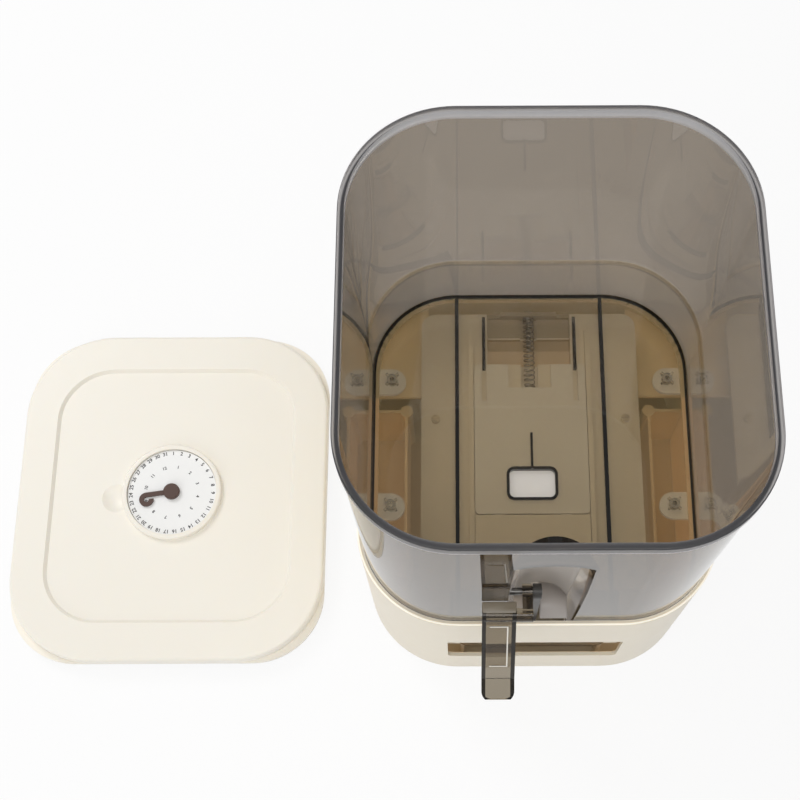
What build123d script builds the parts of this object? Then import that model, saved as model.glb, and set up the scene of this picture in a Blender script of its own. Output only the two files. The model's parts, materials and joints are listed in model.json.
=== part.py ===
from build123d import *
import math
import os

# Rice dispenser: a smoky clear hopper that stands in a cream base, with a press lever that
# slides a sprung gate under the hopper floor, a drawer below it, and a lid with a date dial.
# Millimetres, +Z up, X across the front, Y to the back. The origin is under the middle of the
# base, on the surface that it stands on.

# Hopper
body_width = 230.0
body_depth = 254.0
body_height = 325.0
rim_corner = 64.0
rim_band = 1.2
rim_height = 7.0
rim_round = 1.0
hopper_wall = 2.6
hopper_draft = 0.6
floor_top = 100.0
floor_thickness = 2.6

# Outlet in the hopper floor, with its collar and the fin behind it
outlet_width = 31.0
outlet_length = 20.0
outlet_corner = 3.5
outlet_setback = 106.4
collar_width = 2.0
collar_height = 1.2
fin_width = 1.6
fin_length = 26.0
fin_height = 3.0

# Ribs and screw bosses under the hopper floor
rib_thickness = 2.2
rib_depth = 3.6
long_rib_offset = 12.0
long_rib_margin = 8.5
guide_rib_x = 32.0
guide_rib_length = 39.8
guide_rib_margin = 19.8
boss_inset = 17.3
boss_rear_setback = 66.8
boss_front_setback = 92.8
boss_radius = 3.6
boss_height = 6.0
gusset_reach = 2.2
gusset_thickness = 1.4

# Round recess in the front wall, which narrows and deepens towards its foot
recess_drop = 38.0
recess_top_radius = 24.1
recess_top_depth = 13.2
recess_foot_radius = 19.5
recess_foot_depth = 28.4
vault_radius = 31.0

# Lever pivot, a pin that stands in the left side wall of the recess
pivot_setback = 8.8
pivot_rise = 49.0
pivot_boss_radius = 5.0
pivot_boss_reach = 30.5
pin_radius = 2.2
pin_left = -27.6
pin_right = -1.6
pin_gap = 0.05
pin_end_gap = 0.3

# Lever
lever_x = -27.0
lever_width = 20.0
lever_length = 66.0
lever_slope = 57.0
lever_wall = 2.4
lever_channel = 7.0
lever_root_forward = 15.0
lever_root_up = 4.0
lever_bar_radius = 4.0
lever_hub_radius = 4.6
lever_hub_left = -13.4
lever_hub_right = -7.4
lever_link_height = 7.0
lip_length = 12.0
lip_rise = 6.0
lever_end_round = 6.0
mark_width = 11.0
mark_length = 34.0
mark_start = 9.0
mark_line = 0.9
mark_raise = 0.4

# Rocker arm
arm_hub_left = -7.0
arm_hub_right = -2.0
arm_left = -6.6
arm_right = -2.4
arm_hub_radius = 4.6
arm_nose_radius = 2.5
nose_lead = 3.0
nose_drop = 2.06

# Base
base_height = 147.0
base_wall = 2.8
base_foot_round = 3.0
base_top_round = 0.8
nest_gap = 0.3
ledge_width = 7.0
ledge_thickness = 3.0
ledge_recess_half = 31.0
slot_side_gap = 2.0
slot_low = 44.0
slot_head = 2.1
slot_corner = 3.0
tab_radius = 9.5
tab_thickness = 3.0
post_inset = 26.3
post_rear_setback = 77.8
post_front_setback = 67.8
post_radius = 4.5
post_top = 62.0
web_thickness = 2.0
corner_shelf_setback = 73.8
corner_shelf_drop = 18.4

# Bottom cover
cover_thickness = 3.0
cover_gap = 0.3

# Screws
screw_radius = 1.5
screw_gap = 0.1
screw_head_radius = 3.0
screw_head_height = 2.0
screw_slot_width = 0.9
screw_slot_depth = 0.8
hopper_screw_bite = 8.0
screw_end_gap = 0.6
head_gap = 0.4
cover_screw_bite = 9.0
deck_screw_bite = 7.0

# Tray and its housing
tray_margin = 56.2
tray_head_gap = 1.9
tray_wall = 2.0
tray_corner = 14.0
tray_setback = 3.5
tray_sill = 2.0
tray_reach = 55.0
tray_scoop_radius = 15.0
tray_scoop_depth = 6.0
tray_side_gap = 1.0
tray_run_gap = 0.3
tray_stop_gap = 1.0
housing_wall = 2.5
shelf_thickness = 2.6
housing_front_setback = 6.0
housing_leg_inset = 8.0
housing_boss_radius = 4.0
housing_boss_inset = 10.0
housing_boss_front_inset = 12.0
housing_boss_rear_inset = 6.0
housing_boss_length = 14.0

# Gate
gate_width = 78.0
gate_thickness = 3.0
gate_lift_gap = 0.4
gate_overlap = 3.5
gate_lead = 20.6
gate_travel = 22.0
gate_corner = 3.0
gate_side_gap = 0.4
gate_slit_width = 3.4
gate_slit_spare = 2.0
gate_notch_width = 30.0
gate_notch_depth = 17.5
fork_inner = 19.0
fork_outer = 26.5
fork_thickness = 1.6
fork_bar = 3.0
fork_gap = 0.35
fork_side_gap = 0.5
seat_width = 10.0
seat_thickness = 4.0

# Deck under the gate
deck_side_gap = 11.0
deck_setback = 35.8
deck_corner = 10.0
deck_thickness = 3.3
deck_rail_width = 3.6
deck_rail_inset = 2.0
deck_rail_short = 10.0
bridge_gap = 0.8
deck_hole_margin = 2.0
trough_width = 12.0
trough_wall = 2.0
well_inset = 3.0
well_lead = 1.5
well_step = 15.0
well_step_height = 1.8
stop_thickness = 3.0
stop_half_width = 20.0
stop_gap = 1.0

# Spring and its guide pin
spring_radius = 3.6
spring_wire = 1.0
spring_turns = 14
spring_end_gap = 0.15
spring_clearance = 0.4
spring_least_gap = 0.4
spring_check_steps = 48
guide_pin_radius = 1.6
guide_pin_length = 24.0
guide_pin_head_radius = 3.0
guide_pin_head_height = 1.2

# Lid, lying beside the body
lid_spacing = 34.25
lid_y = 2.0
lid_height = 18.0
lid_wall = 2.2
lid_skirt = 12.0
lid_edge_round = 2.6
lid_margin = 0.5
lid_flange_height = 3.0
lid_flange_corner_step = 13.0
plug_inset = 5.5
plug_wall = 2.0
panel_side_border = 24.25
panel_end_border = 27.75
panel_corner_step = 22.75
panel_depth = 2.4
panel_slope_width = 2.2
dish_radius = 10.7
dish_depth = 2.8
dish_x = -41.6
dish_y = -4.0
seal_low = 2.0
seal_height = 3.0
seal_reach = 1.3

# Date dial in the lid
cup_flange_radius = 37.0
cup_flange_height = 4.2
cup_body_radius = 34.6
cup_body_depth = 6.0
cup_fit_gap = 0.1
cup_rim_width = 3.6
cup_floor_drop = 4.2
cup_wall = 1.8
disc_gap = 0.4
disc_thickness = 1.6
disc_lift = 0.3
post_pin_radius = 2.6
post_pin_height = 4.4
pointer_hub_radius = 6.0
pointer_hub_height = 3.0
pointer_lift = 0.4
pointer_bore_depth = 2.2
pointer_arm_length = 19.0
pointer_arm_width = 3.4
pointer_arm_thickness = 1.6
pointer_hook_radius = 3.6
pointer_angle = 188.0

# Levels and sizes that follow from the ones above
slope = math.tan(math.radians(hopper_draft))
wall_width = body_width - 2 * rim_band
wall_depth = body_depth - 2 * rim_band
wall_corner = rim_corner - rim_band
side, back, front = wall_width / 2, wall_depth / 2, -wall_depth / 2
floor_bottom = floor_top - floor_thickness
nest_inset = (body_height - base_height) * slope - nest_gap
base_inner_width = wall_width - 2 * nest_inset
base_inner_depth = wall_depth - 2 * nest_inset
base_inner_corner = wall_corner - nest_inset
boss_x = side - boss_inset
boss_rear_y = back - boss_rear_setback
boss_front_y = front + boss_front_setback
tab_top = floor_bottom - boss_height
post_x = side - post_inset
post_rear_y = back - post_rear_setback
post_front_y = front + post_front_setback
corner_shelf_front = back - corner_shelf_setback
corner_shelf_top = floor_bottom - corner_shelf_drop
recess_top = body_height - recess_drop
pivot_y = front + pivot_setback
pivot_z = base_height + pivot_rise
outlet_y = front + outlet_setback
guide_rib_back = back - guide_rib_margin
guide_rib_front = guide_rib_back - guide_rib_length
gate_top = floor_bottom - 2 * gate_lift_gap
gate_bottom = gate_top - gate_thickness
gate_back = guide_rib_front + gate_overlap
gate_front = outlet_y - gate_lead
long_rib_x = gate_width / 2 + long_rib_offset
deck_top = gate_bottom - gate_lift_gap
deck_bottom = deck_top - deck_thickness
deck_half_width = boss_x - tab_radius - deck_side_gap
deck_front = front + deck_setback
spring_outer = spring_radius + spring_wire / 2
spring_z = floor_bottom - spring_clearance - spring_outer
trough_floor = spring_z - spring_outer - spring_clearance
seat_face = gate_back - gate_notch_depth
stop_face = guide_rib_back + stop_gap
deck_back = stop_face + stop_thickness
tray_width = base_inner_width - 2 * tray_margin
tray_low = slot_low + tray_sill
tray_height = deck_bottom - tray_head_gap - tray_low
tray_front = -base_inner_depth / 2 + tray_setback
tray_back = outlet_y + tray_reach
slot_width = tray_width + 2 * slot_side_gap
slot_high = deck_bottom + slot_head
housing_leg_x = tray_width / 2 - housing_leg_inset
housing_boss_x = deck_half_width - housing_boss_inset
housing_boss_front_y = deck_front + housing_boss_front_inset
housing_boss_rear_y = tray_back - housing_boss_rear_inset
nose_y = pivot_y - nose_lead
nose_z = gate_bottom - nose_drop
lid_width = body_width - lid_margin
lid_depth = body_depth - lid_margin
lid_corner = rim_corner - lid_margin / 2
lid_x = -(body_width + lid_width) / 2 - lid_spacing
panel_width = lid_width - 2 * panel_side_border
panel_length = lid_depth - 2 * panel_end_border
panel_corner = lid_corner - panel_corner_step
panel_top = lid_height - panel_depth
cup_floor = panel_top + cup_flange_height - cup_floor_drop
screw_places = [(x, y) for x in (-boss_x, boss_x) for y in (boss_front_y, boss_rear_y)]
post_places = [(x, y) for x in (-post_x, post_x) for y in (post_front_y, post_rear_y)]
deck_screw_places = [
    (x, y)
    for x in (-housing_boss_x, housing_boss_x)
    for y in (housing_boss_front_y, housing_boss_rear_y)
]


def block(x0, x1, y0, y1, z0, z1):
    """Plain block between two corners."""
    return Pos((x0 + x1) / 2, (y0 + y1) / 2, (z0 + z1) / 2) * Box(x1 - x0, y1 - y0, z1 - z0)


def rod(radius, x, y, z0, z1):
    """Upright cylinder."""
    return Pos(x, y, z0) * extrude(Circle(radius), z1 - z0)


def cross_rod(radius, y, z, x0, x1):
    """Cylinder along X."""
    return extrude(Plane.YZ.offset(x0) * Pos(y, z) * Circle(radius), x1 - x0)


def plate(width, depth, corner, z0, z1, x=0.0, y=0.0):
    """Upright prism with rounded corners."""
    return Pos(x, y, z0) * extrude(RectangleRounded(width, depth, corner), z1 - z0)


def hopper_block(inset, z0, z1):
    """Drafted block that follows the hopper wall, set in from its outer face."""

    def outline(z):
        shrink = inset + (body_height - z) * slope
        size = (wall_width - 2 * shrink, wall_depth - 2 * shrink, wall_corner - shrink)
        return Pos(0, 0, z) * RectangleRounded(*size)

    return loft([outline(z0), outline(z1)], ruled=True)


def base_block(inset, z0, z1):
    """Prism that follows the inner face of the base, set in from it."""
    width = base_inner_width - 2 * inset
    depth = base_inner_depth - 2 * inset
    return plate(width, depth, base_inner_corner - inset, z0, z1)


def recess_form(grow):
    """Slanting round column under a flat vault, grown on every side."""

    def ring(z):
        share = (z - floor_bottom) / (recess_top - floor_bottom)
        radius = recess_foot_radius + share * (recess_top_radius - recess_foot_radius)
        depth = recess_foot_depth + share * (recess_top_depth - recess_foot_depth)
        wall_y = front + (body_height - z) * slope
        return Pos(0, wall_y + depth - radius, z) * Circle(radius + grow)

    column = loft([ring(gate_bottom), ring(body_height)], ruled=True)
    arch = Pos(0, recess_top - vault_radius) * Circle(vault_radius + grow)
    width = 2 * (vault_radius + grow)
    arch = arch + Pos(0, recess_top - vault_radius - body_height / 2) * Rectangle(width, body_height)
    return column & extrude(Plane.XZ * arch, body_depth, both=True)


def screw(x, y, z_head, bite):
    """Pan-head screw that is driven upwards, with a slot across its head."""
    head = Pos(x, y, z_head - screw_head_height) * Cylinder(
        screw_head_radius, screw_head_height, align=(Align.CENTER, Align.CENTER, Align.MIN)
    )
    low = z_head - screw_head_height
    slot = block(
        x - screw_head_radius, x + screw_head_radius,
        y - screw_slot_width / 2, y + screw_slot_width / 2,
        low, low + screw_slot_depth,
    )
    return head - slot + rod(screw_radius, x, y, z_head, z_head + bite)


def make_hopper():
    outer = hopper_block(0, floor_bottom, body_height)
    inside = hopper_block(hopper_wall, floor_top, body_height + rim_height)
    rim = plate(body_width, body_depth, rim_corner, body_height - rim_height, body_height)
    rim = fillet(rim.edges().group_by(Axis.Z)[-1], rim_round)
    hopper = outer + rim - inside
    column = recess_form(hopper_wall) & outer
    hopper = hopper + column
    hopper = hopper + cross_rod(pivot_boss_radius, pivot_y, pivot_z, -pivot_boss_reach, 0)
    for x in (-long_rib_x, long_rib_x):
        half = rib_thickness / 2
        end = base_inner_depth / 2 - long_rib_margin
        hopper = hopper + block(x - half, x + half, -end, end, floor_bottom - rib_depth, floor_bottom)
    for x in (-guide_rib_x, guide_rib_x):
        half = rib_thickness / 2
        low = floor_bottom - rib_depth
        hopper = hopper + block(
            x - half, x + half, guide_rib_front, guide_rib_back, low, floor_bottom
        )
    for x, y in screw_places:
        hopper = hopper + rod(boss_radius, x, y, tab_top, floor_bottom)
        for angle in range(45, 405, 90):
            gusset = block(
                0, boss_radius + gusset_reach, -gusset_thickness / 2, gusset_thickness / 2,
                floor_bottom - boss_height / 2, floor_bottom,
            )
            hopper = hopper + Pos(x, y, 0) * Rot(Z=angle) * gusset
    hopper = hopper + plate(
        outlet_width + 2 * collar_width, outlet_length + 2 * collar_width,
        outlet_corner + collar_width, floor_top, floor_top + collar_height, 0, outlet_y,
    )
    fin_front = outlet_y + outlet_length / 2
    hopper = hopper + block(
        -fin_width / 2, fin_width / 2, fin_front, fin_front + fin_length,
        floor_top, floor_top + fin_height,
    )
    hopper = hopper - recess_form(0)
    hopper = hopper - cross_rod(
        pin_radius + pin_gap, pivot_y, pivot_z, pin_left - pin_end_gap, 0
    )
    for x, y in screw_places:
        depth = hopper_screw_bite - tab_thickness + screw_end_gap
        hopper = hopper - rod(screw_radius + screw_gap, x, y, tab_top, tab_top + depth)
    hole = plate(
        outlet_width, outlet_length, outlet_corner,
        floor_bottom - rib_depth, floor_top + fin_height, 0, outlet_y,
    )
    return hopper - hole


def make_base_shell():
    outer = base_block(-base_wall, 0, base_height)
    outer = fillet(outer.edges().group_by(Axis.Z)[0], base_foot_round)
    outer = fillet(outer.edges().group_by(Axis.Z)[-1], base_top_round)
    shell = outer - base_block(0, 0, base_height)
    ledge = base_block(0, floor_bottom - ledge_thickness, floor_bottom)
    ledge = ledge - base_block(ledge_width, floor_bottom - ledge_thickness, floor_bottom)
    ledge = ledge - block(
        -ledge_recess_half, ledge_recess_half, -base_inner_depth, 0,
        floor_bottom - ledge_thickness, floor_bottom,
    )
    shell = shell + ledge
    inside = base_block(0, 0, base_height)
    for x, y in screw_places:
        wall = math.copysign(base_inner_width / 2, x)
        tab = rod(tab_radius, x, y, tab_top - tab_thickness, tab_top) + block(
            min(x, wall), max(x, wall), y - tab_radius, y + tab_radius,
            tab_top - tab_thickness, tab_top,
        )
        shell = shell + (tab & inside)
    for x, y in post_places:
        wall = math.copysign(base_inner_width / 2, x)
        post = rod(post_radius, x, y, cover_thickness, post_top) + block(
            min(x, wall), max(x, wall), y - web_thickness / 2, y + web_thickness / 2,
            cover_thickness, post_top,
        )
        shell = shell + (post & inside)
    for x in (-post_x, post_x):
        half = web_thickness / 2
        web = block(x - half, x + half, -base_inner_depth / 2, post_rear_y, cover_thickness, post_top)
        outward = math.copysign(base_inner_width / 2, x)
        inward = math.copysign(deck_half_width - post_radius, x)
        shelf = block(
            min(inward, outward), max(inward, outward), corner_shelf_front, base_inner_depth / 2,
            corner_shelf_top - ledge_thickness, corner_shelf_top,
        )
        shell = shell + (web & inside) + (shelf & inside)
    for x, y in screw_places:
        shell = shell - rod(screw_radius + screw_gap, x, y, tab_top - tab_thickness, tab_top)
    for x, y in post_places:
        shell = shell - rod(
            screw_radius + screw_gap, x, y, cover_thickness, cover_thickness + cover_screw_bite
        )
    slot = Pos(0, (slot_low + slot_high) / 2)
    slot = slot * RectangleRounded(slot_width, slot_high - slot_low, slot_corner)
    opening = extrude(Plane.XZ.offset(base_inner_depth / 4) * slot, base_inner_depth / 2)
    return shell - opening


def make_bottom_cover():
    cover = base_block(cover_gap, 0, cover_thickness)
    for x, y in post_places:
        cover = cover - rod(screw_radius + screw_gap, x, y, 0, cover_thickness)
        head = screw_head_radius + head_gap
        cover = cover - rod(head, x, y, 0, screw_head_height + screw_gap)
    return cover


def make_tray_housing():
    inner = tray_width / 2 + tray_side_gap
    outer = inner + housing_wall
    near = -base_inner_depth / 2 + housing_front_setback
    far = tray_back + tray_stop_gap
    shelf_top = tray_low - tray_run_gap
    housing = block(-outer, outer, near, far + housing_wall, shelf_top - shelf_thickness, deck_bottom)
    housing = housing - block(-inner, inner, near, far, shelf_top, deck_bottom)
    for x in (-housing_leg_x, housing_leg_x):
        half = housing_wall / 2
        housing = housing + block(
            x - half, x + half, near, far + housing_wall,
            cover_thickness, shelf_top - shelf_thickness,
        )
    housing = housing + block(
        -housing_leg_x, housing_leg_x, far, far + housing_wall,
        cover_thickness, shelf_top - shelf_thickness,
    )
    low = deck_bottom - housing_boss_length
    for x, y in deck_screw_places:
        wall = math.copysign(outer, x)
        boss = rod(housing_boss_radius, x, y, low, deck_bottom) + block(
            min(x, wall), max(x, wall), y - web_thickness / 2, y + web_thickness / 2,
            low, deck_bottom,
        )
        housing = housing + boss
    for x, y in deck_screw_places:
        housing = housing - rod(
            screw_radius + screw_gap, x, y, deck_bottom - deck_screw_bite, deck_bottom
        )
    return housing


def make_mechanism_deck():
    middle = (deck_front + deck_back) / 2
    deck = plate(
        2 * deck_half_width, deck_back - deck_front, deck_corner, deck_bottom, deck_top, 0, middle
    )
    rail = gate_width / 2 + gate_side_gap
    for side_sign in (-1, 1):
        x0, x1 = sorted((side_sign * rail, side_sign * (rail + deck_rail_width)))
        deck = deck + block(
            x0, x1, deck_front + deck_rail_inset, guide_rib_back - deck_rail_short,
            deck_top, gate_top,
        )
    # The bridge is level with the gate, and the gate's fork runs through two tunnels in it
    deck = deck + block(
        -gate_width / 2, gate_width / 2, deck_front + deck_rail_inset, gate_front - bridge_gap,
        deck_top, gate_top,
    )
    for side_sign in (-1, 1):
        inner = side_sign * (fork_inner - fork_side_gap)
        outer = side_sign * (fork_outer + fork_side_gap)
        deck = deck - block(
            min(inner, outer), max(inner, outer), deck_front, gate_front,
            deck_top, gate_bottom + fork_thickness + gate_lift_gap,
        )
    half = trough_width / 2
    trough_front = seat_face - seat_thickness - 2 * gate_lift_gap
    deck = deck + block(
        -half - trough_wall, half + trough_wall, trough_front - trough_wall,
        stop_face + stop_thickness, trough_floor - trough_wall, deck_top,
    )
    # Behind the gate lies a wide well, with a step across it
    well = guide_rib_x - well_inset
    well_front = gate_back + well_lead
    deck = deck + block(
        -well - trough_wall, well + trough_wall, well_front - trough_wall, deck_back,
        trough_floor - trough_wall, deck_top,
    )
    deck = deck - block(-well, well, well_front, stop_face, trough_floor, deck_top)
    deck = deck + block(
        -well, well, guide_rib_back - well_step, stop_face,
        trough_floor, trough_floor + well_step_height,
    )
    deck = deck + block(
        -stop_half_width, stop_half_width, stop_face, stop_face + stop_thickness,
        deck_top, gate_top,
    )
    deck = deck - block(-half, half, trough_front, stop_face, trough_floor, gate_top)
    deck = deck - plate(
        outlet_width + 2 * deck_hole_margin, outlet_length + 2 * deck_hole_margin,
        outlet_corner + deck_hole_margin, deck_bottom, deck_top, 0, outlet_y,
    )
    hole = Plane.XZ.offset(-stop_face - stop_thickness) * Pos(0, spring_z)
    deck = deck - extrude(hole * Circle(guide_pin_radius + pin_gap), stop_thickness)
    for x, y in deck_screw_places:
        deck = deck - rod(screw_radius + screw_gap, x, y, deck_bottom, deck_top)
    return deck


def make_gate_slide():
    middle = (gate_front + gate_back) / 2
    gate = plate(gate_width, gate_back - gate_front, gate_corner, gate_bottom, gate_top, 0, middle)
    bar_front = nose_y + arm_nose_radius + fork_gap
    fork_top = gate_bottom + fork_thickness
    for side_sign in (-1, 1):
        x0, x1 = sorted((side_sign * fork_inner, side_sign * fork_outer))
        gate = gate + block(x0, x1, bar_front, gate_front + gate_corner, gate_bottom, fork_top)
    gate = gate + block(
        -fork_outer, fork_outer, bar_front, bar_front + fork_bar,
        nose_z - arm_nose_radius, fork_top,
    )
    notch = gate_notch_width / 2
    gate = gate - block(-notch, notch, seat_face, gate_back, gate_bottom, gate_top)
    seat = seat_width / 2
    gate = gate + block(
        -seat, seat, seat_face - seat_thickness, seat_face,
        spring_z - spring_radius, gate_top,
    )
    slit_front = guide_rib_front - gate_travel - gate_slit_spare
    for x in (-guide_rib_x, guide_rib_x):
        slit = gate_slit_width / 2
        gate = gate - block(x - slit, x + slit, slit_front, gate_back, gate_bottom, gate_top)
    return gate


def make_gate_spring():
    first_end = seat_face + spring_end_gap + spring_wire / 2
    last_end = stop_face - spring_end_gap - spring_wire / 2
    pitch = (last_end - first_end) / spring_turns

    def point(turn):
        angle = 2 * math.pi * turn
        return Vector(
            spring_radius * math.cos(angle),
            first_end + pitch * turn,
            spring_z + spring_radius * math.sin(angle),
        )

    def heading(turn):
        angle = 2 * math.pi * turn
        around = 2 * math.pi * spring_radius
        return Vector(-around * math.sin(angle), pitch, around * math.cos(angle)).normalized()

    # Each half turn is a pair of arcs that meet with one tangent
    edges = []
    for half in range(2 * spring_turns):
        start, end = point(half / 2), point(half / 2 + 0.5)
        leave, arrive = heading(half / 2), heading(half / 2 + 0.5)
        chord, both = end - start, leave + arrive
        spread = 2 * (1 - leave.dot(arrive))
        along = chord.dot(both)
        handle = (math.sqrt(along**2 + spread * chord.dot(chord)) - along) / spread
        first, second = start + leave * handle, end - arrive * handle
        join = (first + second) * 0.5
        edges.append(TangentArc(start, join, tangent=leave))
        edges.append(TangentArc(join, end, tangent=second - first))
    path = Wire(edges)
    spring = sweep(Plane(origin=point(0), z_dir=heading(0)) * Circle(spring_wire / 2), path=path)
    # Least gap between neighbouring turns, measured on points a turn or more apart
    steps = spring_check_steps
    points = [path @ (i / (steps * spring_turns)) for i in range(steps * spring_turns + 1)]
    gap = min(
        (points[i] - points[j]).length
        for i in range(len(points))
        for j in range(i + steps // 2, min(i + 2 * steps, len(points)))
    )
    print(f"spring: least gap to itself {gap - spring_wire:.2f} mm, wanted over {spring_least_gap}")
    return spring


def make_spring_guide_pin():
    length = guide_pin_length + stop_thickness
    shank = Plane.XZ.offset(-stop_face - stop_thickness) * Pos(0, spring_z)
    pin = extrude(shank * Circle(guide_pin_radius), length)
    pin = fillet(pin.edges().sort_by(Axis.Y)[0], guide_pin_radius / 2)
    return pin + extrude(shank * Circle(guide_pin_head_radius), -guide_pin_head_height)


def make_lever_handle():
    angle = math.radians(lever_slope)
    root = (lever_x, pivot_y - lever_root_forward, pivot_z + lever_root_up)
    along = (0, -math.cos(angle), -math.sin(angle))
    # In this plane x runs down the lever and y runs into its hollow back
    side_view = Plane(origin=root, x_dir=along, z_dir=(1, 0, 0))
    bend, end = lever_length - lip_length, lever_length
    skin = make_face(
        Polyline(
            (0, 0), (bend, 0), (end, -lip_rise), (end + lever_wall / 2, lever_wall - lip_rise),
            (bend + lever_wall / 4, lever_wall), (0, lever_wall), close=True,
        )
    )
    cheek = make_face(
        Polyline(
            (0, 0), (bend, 0), (end, -lip_rise), (end + lever_wall / 2, lever_wall - lip_rise),
            (bend, lever_channel), (0, lever_channel), close=True,
        )
    )
    half = lever_width / 2
    lever = extrude(side_view.offset(-half) * skin, lever_width)
    for start in (-half, half - lever_wall):
        lever = lever + extrude(side_view.offset(start) * cheek, lever_wall)
    # Seen from the front, the end of the lever has rounded corners
    face = Plane(origin=root, x_dir=along, z_dir=(0, -math.sin(angle), math.cos(angle)))
    tip = end + lever_wall / 2
    plan = RectangleRounded(2 * tip, lever_width, lever_end_round)
    lever = lever & extrude(face * plan, 2 * lever_channel, both=True)
    frame = Rectangle(mark_length, mark_width)
    frame = frame - Rectangle(mark_length - 2 * mark_line, mark_width - 2 * mark_line)
    lever = lever + extrude(face * Pos(mark_start + mark_length / 2, 0) * frame, mark_raise)
    bar_y, bar_z = root[1], root[2]
    lever = lever + cross_rod(lever_bar_radius, bar_y, bar_z, lever_x - half, lever_hub_right)
    lever = lever + cross_rod(lever_hub_radius, pivot_y, pivot_z, lever_hub_left, lever_hub_right)
    link = Plane.YZ.offset(lever_hub_left) * make_face(
        Polyline(
            (bar_y, bar_z - lever_link_height / 2), (pivot_y, pivot_z - lever_link_height / 2),
            (pivot_y, pivot_z + lever_link_height / 2), (bar_y, bar_z + lever_link_height / 2),
            close=True,
        )
    )
    lever = lever + extrude(link, lever_hub_right - lever_hub_left)
    bore = cross_rod(pin_radius + pin_gap, pivot_y, pivot_z, lever_hub_left, lever_hub_right)
    return lever - bore


def make_lever_pin():
    return cross_rod(pin_radius, pivot_y, pivot_z, pin_left, pin_right)


def make_rocker_arm():
    hub = Pos(pivot_y, pivot_z) * Circle(arm_hub_radius)
    nose = Pos(nose_y, nose_z) * Circle(arm_nose_radius)
    outline = make_hull(hub.edges() + nose.edges())
    arm = extrude(Plane.YZ.offset(arm_left) * outline, arm_right - arm_left)
    arm = arm + cross_rod(arm_hub_radius, pivot_y, pivot_z, arm_hub_left, arm_hub_right)
    return arm - cross_rod(pin_radius + pin_gap, pivot_y, pivot_z, arm_hub_left, arm_hub_right)


def make_dispensing_tray():
    length = tray_back - tray_front
    middle = (tray_back + tray_front) / 2
    tray = plate(tray_width, length, tray_corner, tray_low, tray_low + tray_height, 0, middle)
    tray = tray - plate(
        tray_width - 2 * tray_wall, length - 2 * tray_wall, tray_corner - tray_wall,
        tray_low + tray_wall, tray_low + tray_height, 0, middle,
    )
    scoop = Plane.XZ.offset(-tray_front - 2 * tray_wall)
    centre = tray_low + tray_height + tray_scoop_radius - tray_scoop_depth
    cut = extrude(scoop * Pos(0, centre) * Circle(tray_scoop_radius), 4 * tray_wall)
    return tray - cut


def make_lid_shell():
    width, depth, corner = lid_width, lid_depth, lid_corner
    skirt_low = lid_height - lid_skirt
    outer = plate(width, depth, corner, skirt_low, lid_height)
    outer = fillet(outer.edges().group_by(Axis.Z)[-1], lid_edge_round)
    # The lower edge has squarer corners, which give the fingers a hold
    outer = outer + plate(
        width, depth, corner - lid_flange_corner_step, skirt_low, skirt_low + lid_flange_height
    )
    inside = plate(
        width - 2 * lid_wall, depth - 2 * lid_wall, corner - lid_wall, skirt_low, lid_height - lid_wall
    )
    lid = outer - inside
    plug = (width - 2 * plug_inset, depth - 2 * plug_inset, corner - plug_inset)
    lid = lid + plate(*plug, 0, lid_height - lid_wall) - plate(
        plug[0] - 2 * plug_wall, plug[1] - 2 * plug_wall, plug[2] - plug_wall,
        0, lid_height - lid_wall,
    )
    lid = lid + plate(
        panel_width + 2 * lid_wall, panel_length + 2 * lid_wall, panel_corner + lid_wall,
        panel_top - lid_wall, lid_height - lid_wall,
    )
    low = (
        panel_width - 2 * panel_slope_width, panel_length - 2 * panel_slope_width,
        panel_corner - panel_slope_width,
    )
    lid = lid - loft(
        [
            Pos(0, 0, panel_top) * RectangleRounded(*low),
            Pos(0, 0, lid_height) * RectangleRounded(panel_width, panel_length, panel_corner),
        ],
        ruled=True,
    )
    pad = dish_depth + lid_wall
    lid = lid + rod(dish_radius + lid_wall, dish_x, dish_y, panel_top - pad, panel_top)
    lid = lid + rod(
        cup_body_radius + cup_fit_gap + cup_wall, 0, 0, panel_top - cup_body_depth, panel_top
    )
    ball = (dish_radius**2 + dish_depth**2) / (2 * dish_depth)
    lid = lid - Pos(dish_x, dish_y, panel_top + ball - dish_depth) * Sphere(ball)
    lid = lid - rod(cup_body_radius + cup_fit_gap, 0, 0, panel_top - cup_body_depth, lid_height)
    return Pos(lid_x, lid_y, 0) * lid


def make_lid_seal():
    width, depth, corner = lid_width, lid_depth, lid_corner
    high = seal_low + seal_height
    inner = (width - 2 * plug_inset, depth - 2 * plug_inset, corner - plug_inset)
    outer = (inner[0] + 2 * seal_reach, inner[1] + 2 * seal_reach, inner[2] + seal_reach)
    ring = plate(*outer, seal_low, high) - plate(*inner, seal_low, high)
    return Pos(lid_x, lid_y, 0) * ring


def make_dial_cup():
    flange_top = panel_top + cup_flange_height
    flange = rod(cup_flange_radius, 0, 0, panel_top, flange_top)
    flange = fillet(flange.edges().group_by(Axis.Z)[-1], cup_flange_height / 3)
    cup = flange + rod(cup_body_radius, 0, 0, panel_top - cup_body_depth, panel_top)
    well = cup_flange_radius - cup_rim_width
    cup = cup - rod(well, 0, 0, cup_floor, flange_top)
    cup = cup - rod(
        cup_body_radius - cup_wall, 0, 0, panel_top - cup_body_depth, cup_floor - cup_wall
    )
    cup = cup + rod(post_pin_radius, 0, 0, cup_floor, cup_floor + post_pin_height)
    return Pos(lid_x, lid_y, 0) * cup


def make_date_disc():
    radius = cup_flange_radius - cup_rim_width - disc_gap
    low = cup_floor + disc_lift
    disc = rod(radius, 0, 0, low, low + disc_thickness)
    disc = disc - rod(post_pin_radius + pin_gap, 0, 0, low, low + disc_thickness)
    return Pos(lid_x, lid_y, 0) * disc


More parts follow.
